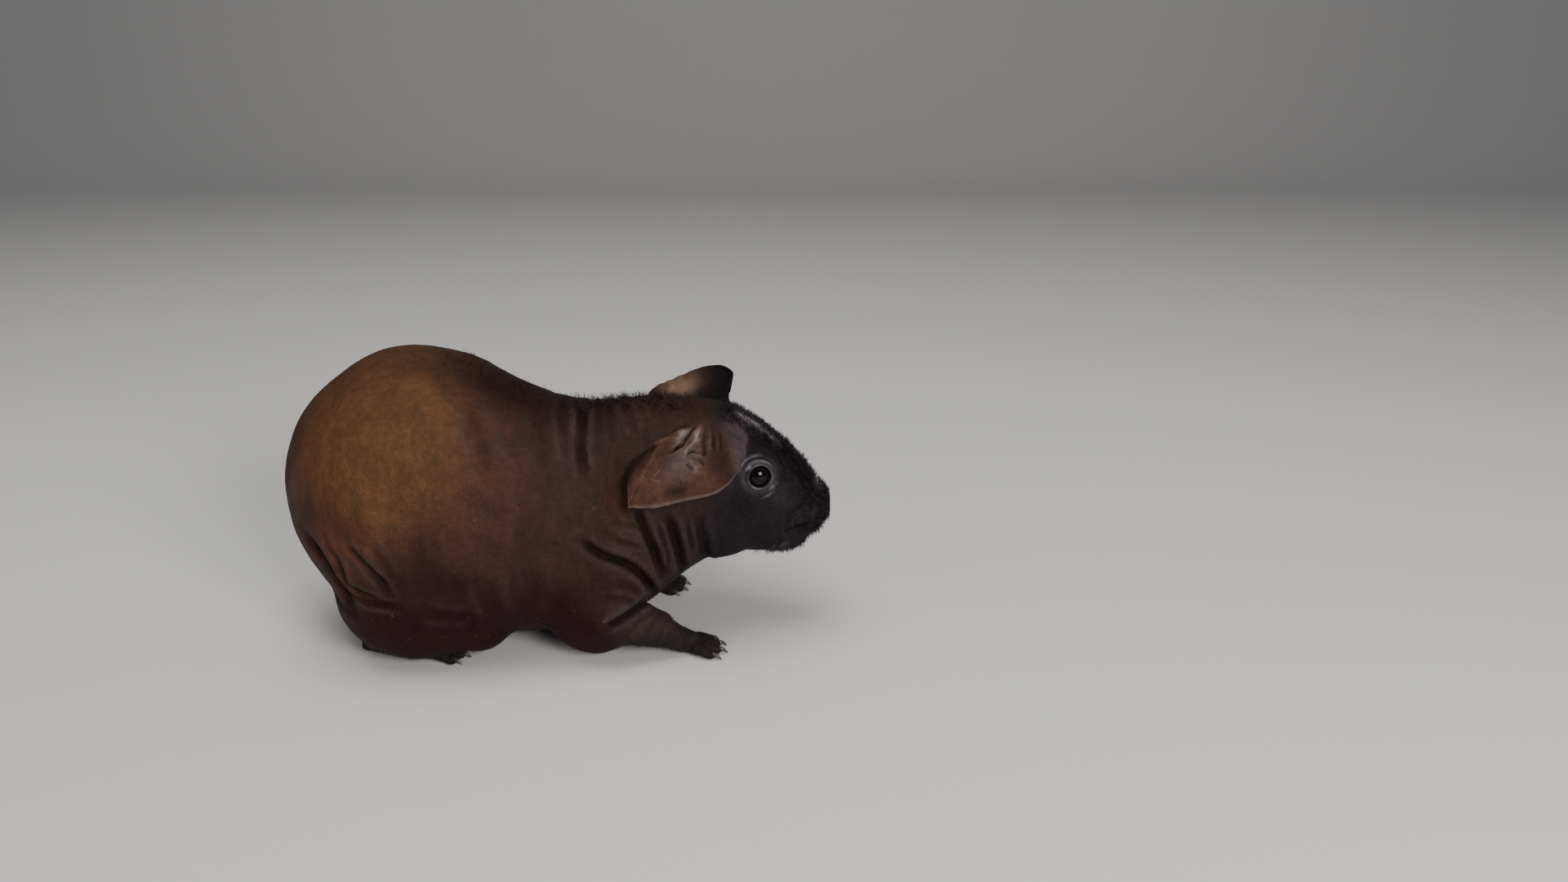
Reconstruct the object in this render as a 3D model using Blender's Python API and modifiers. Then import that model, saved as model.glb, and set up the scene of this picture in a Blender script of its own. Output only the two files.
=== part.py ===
# A hairless guinea pig (skinny pig), life size, crouched on all fours with its back arched.
# The nose points to +X, the animal's left side is +Y, and the floor is z = 0.
# Its sizes are in millimetres here and are turned into metres as each shape is made.
import math

import bmesh
import bpy
import numpy as np
from mathutils import Matrix, Vector
from mathutils.bvhtree import BVHTree

MM = 0.001
GAP = 0.3  # between one part and the next

# The outline of the animal, seen from the side: (x, height) along the back and along the belly.
BACK_LINE = [(-104, 113.5), (-82, 114), (-55, 115.3), (-33, 111.3), (-22, 105.2), (-12, 100), (2, 95),
             (16, 93.3), (30, 95), (45, 95.5), (60, 94), (72, 91)]
BELLY_LINE = [(-104, 38), (-92, 25), (-78, 12.5), (-60, 4.5), (-20, 2.5), (8, 3.5), (26, 7), (38, 13),
              (48, 21), (58, 29), (72, 36)]
WIDEST_LINE = [(-104, 64), (-85, 57), (-55, 53), (-10, 47), (20, 44), (40, 48), (55, 54), (72, 60)]
HALF_WIDTH_LINE = [(-104, 47), (-85, 52), (-58, 56), (-35, 56.5), (-12, 52), (6, 47), (20, 43),
                   (35, 37), (50, 31.5), (72, 26)]
RUMP_START = -104
RUMP_ROUNDING = 48

# The head, cut by upright planes: crown and jaw heights, half width and the height where it is widest.
CROWN_LINE = [(34, 93), (46, 95), (58, 95), (68, 93.2), (77, 88.8), (86, 82.3), (94, 75.6), (100, 69.2),
              (106, 61.6), (111, 57)]
JAW_LINE = [(34, 35), (46, 32), (60, 33), (72, 34.2), (84, 33), (92, 33.4), (98, 36.4), (104, 41),
            (111, 44)]
HEAD_WIDEST_LINE = [(34, 62), (56, 58), (72, 57), (86, 55), (98, 52), (111, 50.5)]
HEAD_HALF_WIDTH_LINE = [(34, 28), (46, 27.5), (60, 26.5), (72, 25), (82, 22), (90, 17.9), (98, 13.9),
                        (105, 11.8), (111, 11.2)]
NOSE_TIP = 111
NOSE_ROUNDING = 13
OCCIPUT = 34
OCCIPUT_ROUNDING = 16

EYE_CENTRE = (81.6, 16.4, 69.6)  # the left eye; the right one mirrors it
EYE_AXIS = (0.28, 0.94, 0.14)
EYE_RADIUS = 5.8
LID_THICKNESS = 1.2
APERTURE = (4.9, 4.7)  # half width and half height of the opening between the lids

# The root of each ear on the side of the head, and its free edge, both from the front to the back.
RIGHT_EAR_ROOT = [(76.0, 11.6, 84.6), (68.5, 13.8, 86.6), (60.1, 15.3, 87.0), (52.8, 16.6, 86.8), (47.5, 20.0, 84.6),
                  (42.8, 23.4, 81.4)]
LEFT_EAR_ROOT = [(71.5, 14.2, 85.8), (65.0, 14.8, 86.7), (58.0, 15.8, 87.2), (51.5, 17.4, 86.4), (46.5, 20.8, 84.0),
                 (42.8, 23.4, 81.4)]
RIGHT_EAR_EDGE = [(77.6, 20.5, 79.5), (74.5, 31.5, 75.0), (66.5, 37.0, 69.2), (55.0, 40.0, 67.5),
                  (43.0, 41.5, 65.5), (35.0, 41.5, 65.5), (34.5, 38.5, 74.0), (38.0, 32.5, 81.5)]
LEFT_EAR_EDGE = [(67.5, 27.0, 91.0), (70.5, 34.5, 96.5), (66.0, 41.0, 98.0), (57.0, 45.0, 95.5),
                 (46.0, 45.5, 91.5), (37.0, 43.0, 87.5), (34.5, 37.0, 85.5), (37.0, 30.5, 84.0)]
EAR_THICKNESS = 1.3

TOE_RADIUS = 1.9
CLAW_LENGTH = 4.6
CLAW_RADIUS = 0.95

# Joints of the limbs; the right forelimb reaches a step further forward.
ELBOW = (20.0, 37.5, 21.0)
LEFT_WRIST = (29.0, 30.0, 9.5)
RIGHT_WRIST = (48.0, 31.0, 9.5)
HIP = (-47.0, 37.0, 29.0)
KNEE = (-25.0, 37.0, 18.0)
HEEL = (-70.0, 32.0, 9.0)
HIND_BALL = (-43.0, 34.0, 3.9)

HEEL_TOP = 8.0  # the hind foot lies under the leg at this height
FOOT_TRIANGLES = 420
BODY_TRIANGLES = 6200
EAR_TRIANGLES = 760

# Folds of loose skin on the left side, mirrored for the right: a path on the skin, half width and depth.
FOLDS = [
    ([(13, 0, 93), (15, 10, 92), (17, 19, 89), (19, 26, 84), (21, 31, 78)], 1.8, 1.1),
    ([(38, 35, 60), (41, 35, 50), (43, 33, 42), (42, 27, 32)], 2.0, 1.5),
    ([(51, 31, 57), (52.5, 30, 48), (53, 28, 40), (52, 22, 31)], 1.8, 1.1),
    ([(61, 28, 56), (63, 27, 49), (63, 26, 42), (61, 20, 32)], 1.6, 0.8),
    ([(23, 42, 47), (33, 37.5, 44), (37.5, 35, 37), (41, 25, 25)], 2.0, 1.6),
    ([(30, 44, 20), (36, 41, 23), (40, 36, 25)], 1.7, 1.2),
    ([(-83, 43, 58), (-76, 49, 50), (-70, 51, 41), (-62, 53, 35), (-52, 54, 32)], 3.2, 1.0),
    ([(-62, 55, 52), (-57, 55, 43), (-51, 54, 35)], 2.8, 0.8),
]

MOUTH_LINE = [(91.5, 16.2, 45.0), (95.0, 15.0, 46.2), (99.0, 13.8, 47.0), (103.0, 12.2, 47.2), (106.2, 9.4, 46.6),
              (107.8, 5.6, 45.8), (108.2, 2.5, 45.3), (108.2, 0, 45.0)]
CLEFT_LINE = [(108.0, 0, 44.6), (110.4, 0, 48.5), (110.8, 0, 53.0)]
NOSTRIL = (107.8, 3.9, 57.6)
NOSTRIL_SIZE = (1.7, 1.5, 0.75)

HEAD_CUT = (50.0, 38.0)  # where the head leaves the neck: x at z 20 and at z 96
NECK_CUT = (40.0, 16.0)  # where the neck leaves the torso: x at z 20 and at z 96

SKIN_BROWN = (0.105, 0.062, 0.045, 1)
SKIN_DARK = (0.045, 0.035, 0.036, 1)
EAR_BROWN = (0.16, 0.085, 0.055, 1)
EYE_BLACK = (0.008, 0.006, 0.005, 1)


# Small helpers

def clear_scene():
    for obj in list(bpy.data.objects):
        bpy.data.objects.remove(obj)


def make_collection(name, is_helper=False):
    collection = bpy.data.collections.new(name)
    bpy.context.scene.collection.children.link(collection)
    collection.hide_render = is_helper
    return collection


def make_material(name, colour, roughness):
    material = bpy.data.materials.new(name)
    material.use_nodes = True
    shader = material.node_tree.nodes["Principled BSDF"]
    shader.inputs["Base Color"].default_value = colour
    shader.inputs["Roughness"].default_value = roughness
    shader.inputs["Metallic"].default_value = 0.0
    material.diffuse_color = colour
    return material


def smooth_line(knots):
    """A smooth function through (x, value) knots that doesn't overshoot them."""
    xs, ys = np.array(knots, float).T
    steps = np.diff(xs)
    slopes = np.diff(ys) / steps
    tangents = np.empty_like(ys)
    tangents[0], tangents[-1] = slopes[0], slopes[-1]
    for i in range(1, len(xs) - 1):
        before, after = slopes[i - 1], slopes[i]
        if before * after <= 0:
            tangents[i] = 0
        else:
            w1 = 2 * steps[i] + steps[i - 1]
            w2 = steps[i] + 2 * steps[i - 1]
            tangents[i] = (w1 + w2) / (w1 / before + w2 / after)

    def value(x):
        x = np.clip(x, xs[0], xs[-1])
        i = np.clip(np.searchsorted(xs, x) - 1, 0, len(steps) - 1)
        t = (x - xs[i]) / steps[i]
        return (
            (1 + 2 * t) * (1 - t) ** 2 * ys[i]
            + t * (1 - t) ** 2 * steps[i] * tangents[i]
            + t * t * (3 - 2 * t) * ys[i + 1]
            + t * t * (t - 1) * steps[i] * tangents[i + 1]
        )

    return value


def cap(distance, rounding):
    """How far a rounded end has opened at this distance from its tip, from 0 to 1."""
    t = np.clip(distance / rounding, 0, 1)
    return math.sqrt(1 - (1 - t) ** 2)


def loft(name, rings, collection, tips=(None, None)):
    """A closed mesh through rings of equal size, each end closed by a tip point or by its ring's centre."""
    rings = np.asarray(rings) * MM
    mesh = bmesh.new()
    rows = [[mesh.verts.new(p) for p in ring] for ring in rings]
    sides = len(rows[0])
    for a, b in zip(rows, rows[1:]):
        for i in range(sides):
            j = (i + 1) % sides
            mesh.faces.new((a[i], a[j], b[j], b[i]))
    for row, tip, flip in ((rows[0], tips[0], True), (rows[-1], tips[1], False)):
        centre = Vector(tip) * MM if tip is not None else sum((v.co for v in row), Vector()) / sides
        hub = mesh.verts.new(centre)
        for i in range(sides):
            j = (i + 1) % sides
            mesh.faces.new((row[j], row[i], hub) if flip else (row[i], row[j], hub))
    bmesh.ops.recalc_face_normals(mesh, faces=mesh.faces)
    return object_from(name, mesh, collection)


def object_from(name, mesh, collection):
    data = bpy.data.meshes.new(name)
    mesh.to_mesh(data)
    mesh.free()
    obj = bpy.data.objects.new(name, data)
    collection.objects.link(obj)
    return obj


def ellipsoid(name, centre, radii, collection, tilt=0.0, segments=32):
    """tilt turns it about the Y axis, in degrees, nose down."""
    mesh = bmesh.new()
    bmesh.ops.create_uvsphere(mesh, u_segments=segments, v_segments=segments // 2, radius=MM)
    bmesh.ops.scale(mesh, vec=radii, verts=mesh.verts)
    bmesh.ops.rotate(mesh, cent=(0, 0, 0), matrix=Matrix.Rotation(math.radians(tilt), 3, "Y"), verts=mesh.verts)
    bmesh.ops.translate(mesh, vec=Vector(centre) * MM, verts=mesh.verts)
    return object_from(name, mesh, collection)


def tube(name, points, radii, collection, sides_level=4, steps=6):
    """A round limb along a smooth curve through the points, with its own radius at each of them."""
    t = np.arange(len(points))
    lines = [smooth_line(list(zip(t, column))) for column in np.array(points, float).T]
    radius = smooth_line(list(zip(t, radii)))
    places = np.linspace(0, len(points) - 1, steps * (len(points) - 1) + 1)
    curve = bpy.data.curves.new(name, "CURVE")
    curve.dimensions = "3D"
    curve.bevel_depth = MM
    curve.bevel_resolution = sides_level
    curve.use_fill_caps = True
    spline = curve.splines.new("POLY")
    spline.points.add(len(places) - 1)
    for point, place in zip(spline.points, places):
        point.co = (*(float(line(place)) * MM for line in lines), 1)
        point.radius = float(radius(place))
    obj = bpy.data.objects.new(name, curve)
    collection.objects.link(obj)
    solid = as_mesh(obj, collection)
    weld(solid)
    return solid


def as_mesh(obj, collection):
    """Replaces the object with the mesh that its modifiers or its curve make."""
    bpy.context.view_layer.update()
    graph = bpy.context.evaluated_depsgraph_get()
    data = bpy.data.meshes.new_from_object(obj.evaluated_get(graph))
    name = obj.name
    matrix = obj.matrix_world.copy()
    bpy.data.objects.remove(obj)
    made = bpy.data.objects.new(name, data)
    made.matrix_world = matrix
    collection.objects.link(made)
    return made


def weld(obj, distance=0.02):
    mesh = bmesh.new()
    mesh.from_mesh(obj.data)
    bmesh.ops.remove_doubles(mesh, verts=mesh.verts, dist=distance * MM)
    bmesh.ops.recalc_face_normals(mesh, faces=mesh.faces)
    mesh.to_mesh(obj.data)
    mesh.free()


def largest_piece(obj):
    """Keeps only the largest closed surface, and drops any scrap that a cut leaves."""
    mesh = bmesh.new()
    mesh.from_mesh(obj.data)
    mesh.verts.ensure_lookup_table()
    unseen = set(mesh.verts)
    groups = []
    while unseen:
        group, edge = set(), [unseen.pop()]
        while edge:
            vert = edge.pop()
            group.add(vert)
            for link in vert.link_edges:
                other = link.other_vert(vert)
                if other in unseen:
                    unseen.remove(other)
                    edge.append(other)
        groups.append(group)
    keep = max(groups, key=len)
    bmesh.ops.delete(mesh, geom=[v for v in mesh.verts if v not in keep], context="VERTS")
    mesh.to_mesh(obj.data)
    mesh.free()


def fuse(name, pieces, voxel, rounds, collection):
    """One skin over all the pieces, with its inner corners softened."""
    mesh = bmesh.new()
    for piece in pieces:
        mesh.from_mesh(piece.data)
    for piece in pieces:
        bpy.data.objects.remove(piece)
    obj = object_from(name, mesh, collection)
    remesh = obj.modifiers.new("Remesh", "REMESH")
    remesh.mode = "VOXEL"
    remesh.voxel_size = voxel * MM
    soften = obj.modifiers.new("Soften", "SMOOTH")
    soften.factor = 0.5
    soften.iterations = rounds
    return as_mesh(obj, collection)


def reduce_faces(obj, triangles, collection):
    obj.data.calc_loop_triangles()
    decimate = obj.modifiers.new("Reduce", "DECIMATE")
    decimate.decimate_type = "COLLAPSE"
    decimate.ratio = triangles / len(obj.data.loop_triangles)
    decimate.use_collapse_triangulate = True
    return as_mesh(obj, collection)


def boolean(obj, others, operation, solver="EXACT"):
    """Cuts the others from the object, or joins them to it, and removes them."""
    group = bpy.data.collections.new("Operands")
    bpy.context.scene.collection.children.link(group)
    for other in others:
        group.objects.link(other)
    modifier = obj.modifiers.new("Boolean", "BOOLEAN")
    modifier.operation = operation
    modifier.operand_type = "COLLECTION"
    modifier.collection = group
    modifier.solver = solver
    bpy.context.view_layer.update()
    graph = bpy.context.evaluated_depsgraph_get()
    data = bpy.data.meshes.new_from_object(obj.evaluated_get(graph))
    obj.modifiers.remove(modifier)
    obj.data = data
    for other in others:
        bpy.data.objects.remove(other)
    bpy.data.collections.remove(group)
    largest_piece(obj)
    return obj


def copy_of(obj, name, collection):
    made = bpy.data.objects.new(name, obj.data.copy())
    collection.objects.link(made)
    return made


def fattened(obj, by, collection):
    """A copy that stands out from the object by the given distance."""
    made = copy_of(obj, obj.name + "_fat", collection)
    normals = np.array([v.normal for v in made.data.vertices])
    points = np.array([v.co for v in made.data.vertices])
    made.data.vertices.foreach_set("co", (points + normals * by * MM).astype(np.float32).ravel())
    made.data.update()
    return made


def mirrored(obj, name, collection):
    made = copy_of(obj, name, collection)
    made.data.transform(Matrix.Scale(-1, 4, (0, 1, 0)))
    made.data.flip_normals()
    return made


def unit(vector):
    vector = np.asarray(vector, float)
    return vector / np.linalg.norm(vector)


# Shaping a finished surface, as a sculptor's strokes do

def points_of(obj):
    points = np.empty(len(obj.data.vertices) * 3, np.float32)
    obj.data.vertices.foreach_get("co", points)
    return points.reshape(-1, 3).astype(float) / MM


def normals_of(obj):
    return np.array([v.normal for v in obj.data.vertices])


def set_points(obj, points):
    obj.data.vertices.foreach_set("co", (points * MM).astype(np.float32).ravel())
    obj.data.update()


def near_path(points, path):
    """Distance from each point to a path, and how far along the path it lies, from 0 to 1."""
    path = np.asarray(path, float)
    best = np.full(len(points), 1e9)
    along = np.zeros(len(points))
    legs = len(path) - 1
    for i in range(legs):
        a, b = path[i], path[i + 1]
        t = np.clip(((points - a) @ (b - a)) / ((b - a) @ (b - a)), 0, 1)
        away = np.linalg.norm(points - (a + t[:, None] * (b - a)), axis=1)
        closer = away < best
        best[closer] = away[closer]
        along[closer] = (i + t[closer]) / legs
    return best, along


def on_surface(points, obj):
    """The nearest place on the object to each of the points."""
    tree = BVHTree.FromPolygons([v.co for v in obj.data.vertices], [p.vertices for p in obj.data.polygons])
    return [np.array(tree.find_nearest(Vector(point) * MM)[0]) / MM for point in points]


def bell(x):
    return np.exp(-x * x)


# The parts

def body_ring(x, opened, widest, top, bottom, half_width, sides, upper=2.0, lower=2.0):
    """One upright ring of the torso or head. The powers make its upper and lower halves rounder or squarer."""
    centre, half = widest(x), half_width(x) * opened
    ring = []
    for i in range(sides):
        angle = 2 * math.pi * i / sides
        c, s = math.cos(angle), math.sin(angle)
        power = upper if s >= 0 else lower
        reach = (top(x) - centre if s >= 0 else centre - bottom(x)) * opened
        y = half * math.copysign(abs(c) ** (2 / power), c)
        z = centre + reach * math.copysign(abs(s) ** (2 / power), s)
        ring.append((x, y, z))
    return ring


def make_trunk(collection):
    """The torso and the neck as one loft, from the rump to inside the head."""
    top, bottom = smooth_line(BACK_LINE), smooth_line(BELLY_LINE)
    widest, half_width = smooth_line(WIDEST_LINE), smooth_line(HALF_WIDTH_LINE)
    end = BACK_LINE[-1][0]
    share = np.linspace(0, 1, 60)[1:]
    places = RUMP_START + (end - RUMP_START) * (0.35 * share + 0.65 * share**1.6)
    rings = [
        body_ring(x, cap(x - RUMP_START, RUMP_ROUNDING), widest, top, bottom, half_width, 56, 2.05, 2.2)
        for x in places
    ]
    return loft("trunk", rings, collection, ((RUMP_START, 0, float(widest(RUMP_START))), None))


def make_head_form(collection):
    """The skull's loft with the forms that sit on it: cheeks, muzzle pads, chin and brows."""
    top, bottom = smooth_line(CROWN_LINE), smooth_line(JAW_LINE)
    widest, half_width = smooth_line(HEAD_WIDEST_LINE), smooth_line(HEAD_HALF_WIDTH_LINE)
    share = (1 - np.cos(np.linspace(0, math.pi, 46)[1:-1])) / 2
    rings = []
    for x in OCCIPUT + (NOSE_TIP - OCCIPUT) * share:
        opened = min(cap(x - OCCIPUT, OCCIPUT_ROUNDING), cap(NOSE_TIP - x, NOSE_ROUNDING) ** 0.8)
        rings.append(body_ring(x, opened, widest, top, bottom, half_width, 56, 2.15, 2.25))
    tips = ((OCCIPUT, 0, float(widest(OCCIPUT))), (NOSE_TIP, 0, float(widest(NOSE_TIP))))
    pieces = [loft("skull", rings, collection, tips)]
    for side in (1, -1):
        pieces.append(ellipsoid("cheek", (62, 14.8 * side, 48.5), (21, 12.0, 13.5), collection, 8))
        pieces.append(ellipsoid("muzzle_pad", (98.0, 6.2 * side, 50), (10.5, 7.6, 9.2), collection, 20))
        pieces.append(ellipsoid("orbit", (80.5, 13.8 * side, 70.5), (12.0, 7.4, 10.0), collection, 30))
    pieces.append(ellipsoid("chin", (92.8, 0, 37.4), (9.5, 7.6, 5.4), collection, -8))
    pieces.append(ellipsoid("nose", (104.4, 0, 55.2), (6.0, 6.4, 5.6), collection, 30))
    return pieces


def make_leg_forms(side, wrist, collection):
    """The fleshy forms of one side's legs, down to the wrist and the heel."""
    def place(point):
        return (point[0], point[1] * side, point[2])

    def between(a, b, share):
        return tuple(p + (q - p) * share for p, q in zip(a, b))

    return [
        ellipsoid("thigh", place(HIP), (31, 17.0, 26.5), collection, -6),
        ellipsoid("knee", place(KNEE), (14, 10.5, 13), collection),
        tube("shin", [place(KNEE), place(between(KNEE, HEEL, 0.5)), place(HEEL)], [12, 10, 7.0], collection),
        ellipsoid("arm", place(np.add(ELBOW, (-2, -2.5, 6))), (20, 11.0, 25), collection, -12),
        tube("forearm", [place(ELBOW), place(between(ELBOW, wrist, 0.5)), place(wrist)], [11.5, 9.2, 7.0], collection),
    ]


def make_ear(name, side, root_knots, edge_knots, collection):
    """A wide petal between the root on the head and its free edge, which stands out before it falls."""
    place = np.linspace(0, 1, len(root_knots))
    root = [smooth_line(list(zip(place, column))) for column in np.array(root_knots).T]
    place = np.linspace(0, 1, len(edge_knots))
    rim = [smooth_line(list(zip(place, column))) for column in np.array(edge_knots).T]
    columns, rows = 19, 10
    mesh = bmesh.new()
    grid = []
    for i in range(columns):
        u = i / (columns - 1)
        foot = np.array([float(line(u)) for line in root])
        lip = np.array([float(line(u)) for line in rim])
        fall = lip - foot
        arch = unit(np.cross(fall, (1, 0, 0)))
        if arch[1] < 0:
            arch = -arch
        column = []
        for j in range(rows):
            v = -0.12 + 1.12 * j / (rows - 1)
            bow = 3.4 * math.sin(math.pi * min(max(v, 0), 1)) * (0.3 + 0.7 * math.sin(math.pi * u))
            hollow = -1.8 * bell((v - 0.35) / 0.22) * bell((u - 0.45) / 0.3)
            column.append(mesh.verts.new((foot + fall * v + arch * (bow + hollow)) * MM))
        grid.append(column)
    for a, b in zip(grid, grid[1:]):
        for i in range(rows - 1):
            mesh.faces.new((a[i], b[i], b[i + 1], a[i + 1]))
    bmesh.ops.triangulate(mesh, faces=mesh.faces)
    if side < 0:
        bmesh.ops.scale(mesh, vec=(1, -1, 1), verts=mesh.verts)
    obj = object_from(name, mesh, collection)
    thickness = obj.modifiers.new("Thickness", "SOLIDIFY")
    thickness.thickness = EAR_THICKNESS * MM
    thickness.offset = 0
    sheet = as_mesh(obj, collection)
    return reduce_faces(fuse(name, [sheet], 0.5, 2, collection), EAR_TRIANGLES, collection)


def make_claw(root, tip, collection):
    root, tip = np.array(root, float), np.array(tip, float)
    middle = (root + tip) / 2 + np.array((0, 0, 0.7))
    return tube("claw", [root, middle, tip], [CLAW_RADIUS, CLAW_RADIUS * 0.8, 0.3], collection, 1, 2)


def make_foot(name, ankle, ball, toe_count, spread, turn, collection):
    """A left foot flat on the floor, from the ankle to the ball, with clawed toes that fan out from it."""
    ankle, ball = np.array(ankle, float), np.array(ball, float)
    pieces = [tube("sole", [ankle, (ankle + ball) / 2 - (0, 0, 0.6), ball], [6.3, 5.0, 4.2], collection)]
    claws = []
    turned = math.radians(turn)
    aside = np.array((-math.sin(turned), math.cos(turned), 0.0))
    for i in range(toe_count):
        place = i - (toe_count - 1) / 2
        way = turned + math.radians(spread * place)
        ahead = np.array((math.cos(way), math.sin(way), 0.0))
        knuckle = ball + aside * place * 3.1 + (0, 0, -0.4)
        tip = knuckle + ahead * (9.0 - 1.6 * abs(place) ** 1.4)
        tip[2] = TOE_RADIUS
        pieces.append(tube("toe", [ball + aside * place * 1.4, knuckle + ahead * 2, tip],
                           [3.2, TOE_RADIUS * 1.2, TOE_RADIUS], collection))
        pieces.append(ellipsoid("pad", tip, (TOE_RADIUS * 1.3, TOE_RADIUS * 1.1, TOE_RADIUS), collection, 0, 16))
        claw_tip = tip + ahead * CLAW_LENGTH
        claw_tip[2] = 0.6
        claws.append(make_claw(tip + (0, 0, 0.5), claw_tip, collection))
    foot = fuse(name, pieces, 0.6, 4, collection)
    foot = reduce_faces(foot, FOOT_TRIANGLES, collection)
    points = points_of(foot)
    points[:, 2] = np.maximum(points[:, 2], 0.0)
    set_points(foot, points)
    return boolean(foot, claws, "UNION")


def leaning_block(name, cut, forward, gap, collection):
    """A block over everything ahead of, or behind, the plane through x = cut[0] at z 20 and cut[1] at z 96."""
    lean = math.atan2(cut[1] - cut[0], 96 - 20)
    way = Vector((math.cos(lean), 0, -math.sin(lean)))
    mesh = bmesh.new()
    bmesh.ops.create_cube(mesh, size=0.3)
    bmesh.ops.rotate(mesh, cent=(0, 0, 0), matrix=Matrix.Rotation(lean, 3, "Y"), verts=mesh.verts)
    middle = Vector(((cut[0] + cut[1]) / 2, 0, (20 + 96) / 2))
    shift = (150 + gap / 2) * (1 if forward else -1)
    bmesh.ops.translate(mesh, vec=(middle + way * shift) * MM, verts=mesh.verts)
    return object_from(name, mesh, collection)


def block_at(point, way, size, collection):
    """A cube that starts half the gap before the point, and reaches on along the given way."""
    way = Vector(unit(way))
    mesh = bmesh.new()
    bmesh.ops.create_cube(mesh, size=size * MM)
    turn = way.to_track_quat("X", "Z").to_matrix()
    bmesh.ops.rotate(mesh, cent=(0, 0, 0), matrix=turn, verts=mesh.verts)
    bmesh.ops.translate(mesh, vec=(Vector(point) + way * (size - GAP) / 2) * MM, verts=mesh.verts)
    return object_from("block", mesh, collection)


def box(low, high, collection):
    low, high = Vector(low), Vector(high)
    mesh = bmesh.new()
    bmesh.ops.create_cube(mesh, size=1.0)
    bmesh.ops.scale(mesh, vec=(high - low) * MM, verts=mesh.verts)
    bmesh.ops.translate(mesh, vec=(high + low) / 2 * MM, verts=mesh.verts)
    return object_from("box", mesh, collection)


def fore_region(side, wrist, grow, collection):
    """The space that a forelimb takes from the body, from the shoulder to past the wrist."""
    centre = np.multiply((16, 52, 28), (1, side, 1))
    mass = ellipsoid("region", centre, np.add((20, 25, 24), grow), collection, 0, 20)
    start = np.multiply((24, 37, 19), (1, side, 1))
    end = np.multiply(wrist, (1, side, 1))
    sleeve = tube("sleeve", [start, end, end + (end - start) * 0.3], np.add((12.5, 11, 11), grow), collection)
    return boolean(mass, [sleeve], "UNION")


def hind_region(side, grow, collection):
    centre = np.multiply((-45, 54, 23), (1, side, 1))
    return ellipsoid("region", centre, np.add((38, 29, 29), grow), collection, 0, 20)


def crease(points, normals, path, width, depth, ridge=0.35):
    """How far each point moves along its normal for a fold along the path: a furrow between two low ridges."""
    away, along = near_path(points, path)
    ends = np.clip(np.minimum(along, 1 - along) * 4 + 0.15, 0, 1)
    shape = -depth * bell(away / width) + ridge * depth * bell((away - 2.0 * width) / width)
    return shape * ends


def add_folds(obj):
    """The main folds of the loose skin, each on both sides."""
    points, normals = points_of(obj), normals_of(obj)
    shift = np.zeros(len(points))
    for path, width, depth in FOLDS:
        for side in (1, -1):
            shift += crease(points, normals, np.multiply(path, (1, side, 1)), width, depth)
    set_points(obj, points + normals * shift[:, None])


def open_eye(head, side, collection):
    """The lids as a thin dome over the eyeball, with the socket and the almond opening cut through it."""
    centre = np.multiply(EYE_CENTRE, (1, side, 1))
    way = unit(np.multiply(EYE_AXIS, (1, side, 1)))
    inner = EYE_RADIUS + GAP
    lid = ellipsoid("lid", centre, (inner + LID_THICKNESS,) * 3, collection, 0, 24)
    boolean(head, [lid], "UNION")
    mesh = bmesh.new()
    bmesh.ops.create_cone(mesh, cap_ends=True, segments=24, radius1=0.8, radius2=1.25, depth=1.0)
    bmesh.ops.scale(mesh, vec=(APERTURE[0] * MM, APERTURE[1] * MM, 12 * MM), verts=mesh.verts)
    bmesh.ops.translate(mesh, vec=(0, 0, 8 * MM), verts=mesh.verts)
    turn = Vector(way).to_track_quat("Z", "Y").to_matrix()
    bmesh.ops.rotate(mesh, cent=(0, 0, 0), matrix=turn, verts=mesh.verts)
    bmesh.ops.translate(mesh, vec=Vector(centre) * MM, verts=mesh.verts)
    opening = object_from("opening", mesh, collection)
    socket = ellipsoid("socket", centre, (inner,) * 3, collection, 0, 20)
    boolean(head, [opening], "DIFFERENCE")
    return boolean(head, [socket], "DIFFERENCE")


def cut_mouth(head, collection):
    """The line of the mouth under the muzzle, the cleft of the upper lip and the two nostrils."""
    half = on_surface(MOUTH_LINE, head)
    line = half[:-1] + [half[-1] * (1, 0, 1)] + [p * (1, -1, 1) for p in half[-2::-1]]
    mouth = tube("mouth", line, [0.3, 0.6] + [0.75] * (len(line) - 4) + [0.6, 0.3], collection, 1, 2)
    cleft = tube("cleft", on_surface(CLEFT_LINE, head), [0.3, 0.6, 0.6], collection, 1, 2)
    cutters = [mouth, cleft]
    for side in (1, -1):
        nostril = ellipsoid("nostril", (0, 0, 0), NOSTRIL_SIZE, collection, 0, 12)
        turn = Matrix.Rotation(math.radians(-35 * side), 4, "X") @ Matrix.Rotation(math.radians(25 * side), 4, "Z")
        nostril.data.transform(Matrix.Translation(Vector(np.multiply(NOSTRIL, (1, side, 1))) * MM) @ turn)
        cutters.append(nostril)
    for cutter in cutters:
        boolean(head, [cutter], "DIFFERENCE")
    return head


def finish(obj, name, material, collection):
    for group in list(obj.users_collection):
        group.objects.unlink(obj)
    collection.objects.link(obj)
    obj.name = name
    obj.data.name = name
    obj.data.materials.clear()
    obj.data.materials.append(material)
    obj.data.shade_smooth()
    obj.data.set_sharp_from_angle(angle=math.radians(40))
    return obj


def centre_on_origin(objects):
    """Moves the whole animal so that the box round it stands centred on the origin."""
    corners = np.concatenate([points_of(obj) for obj in objects])
    low, high = corners.min(0), corners.max(0)
    shift = Vector((-(low[0] + high[0]) / 2, -(low[1] + high[1]) / 2, -low[2])) * MM
    for obj in objects:
        obj.data.transform(Matrix.Translation(shift))


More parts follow.
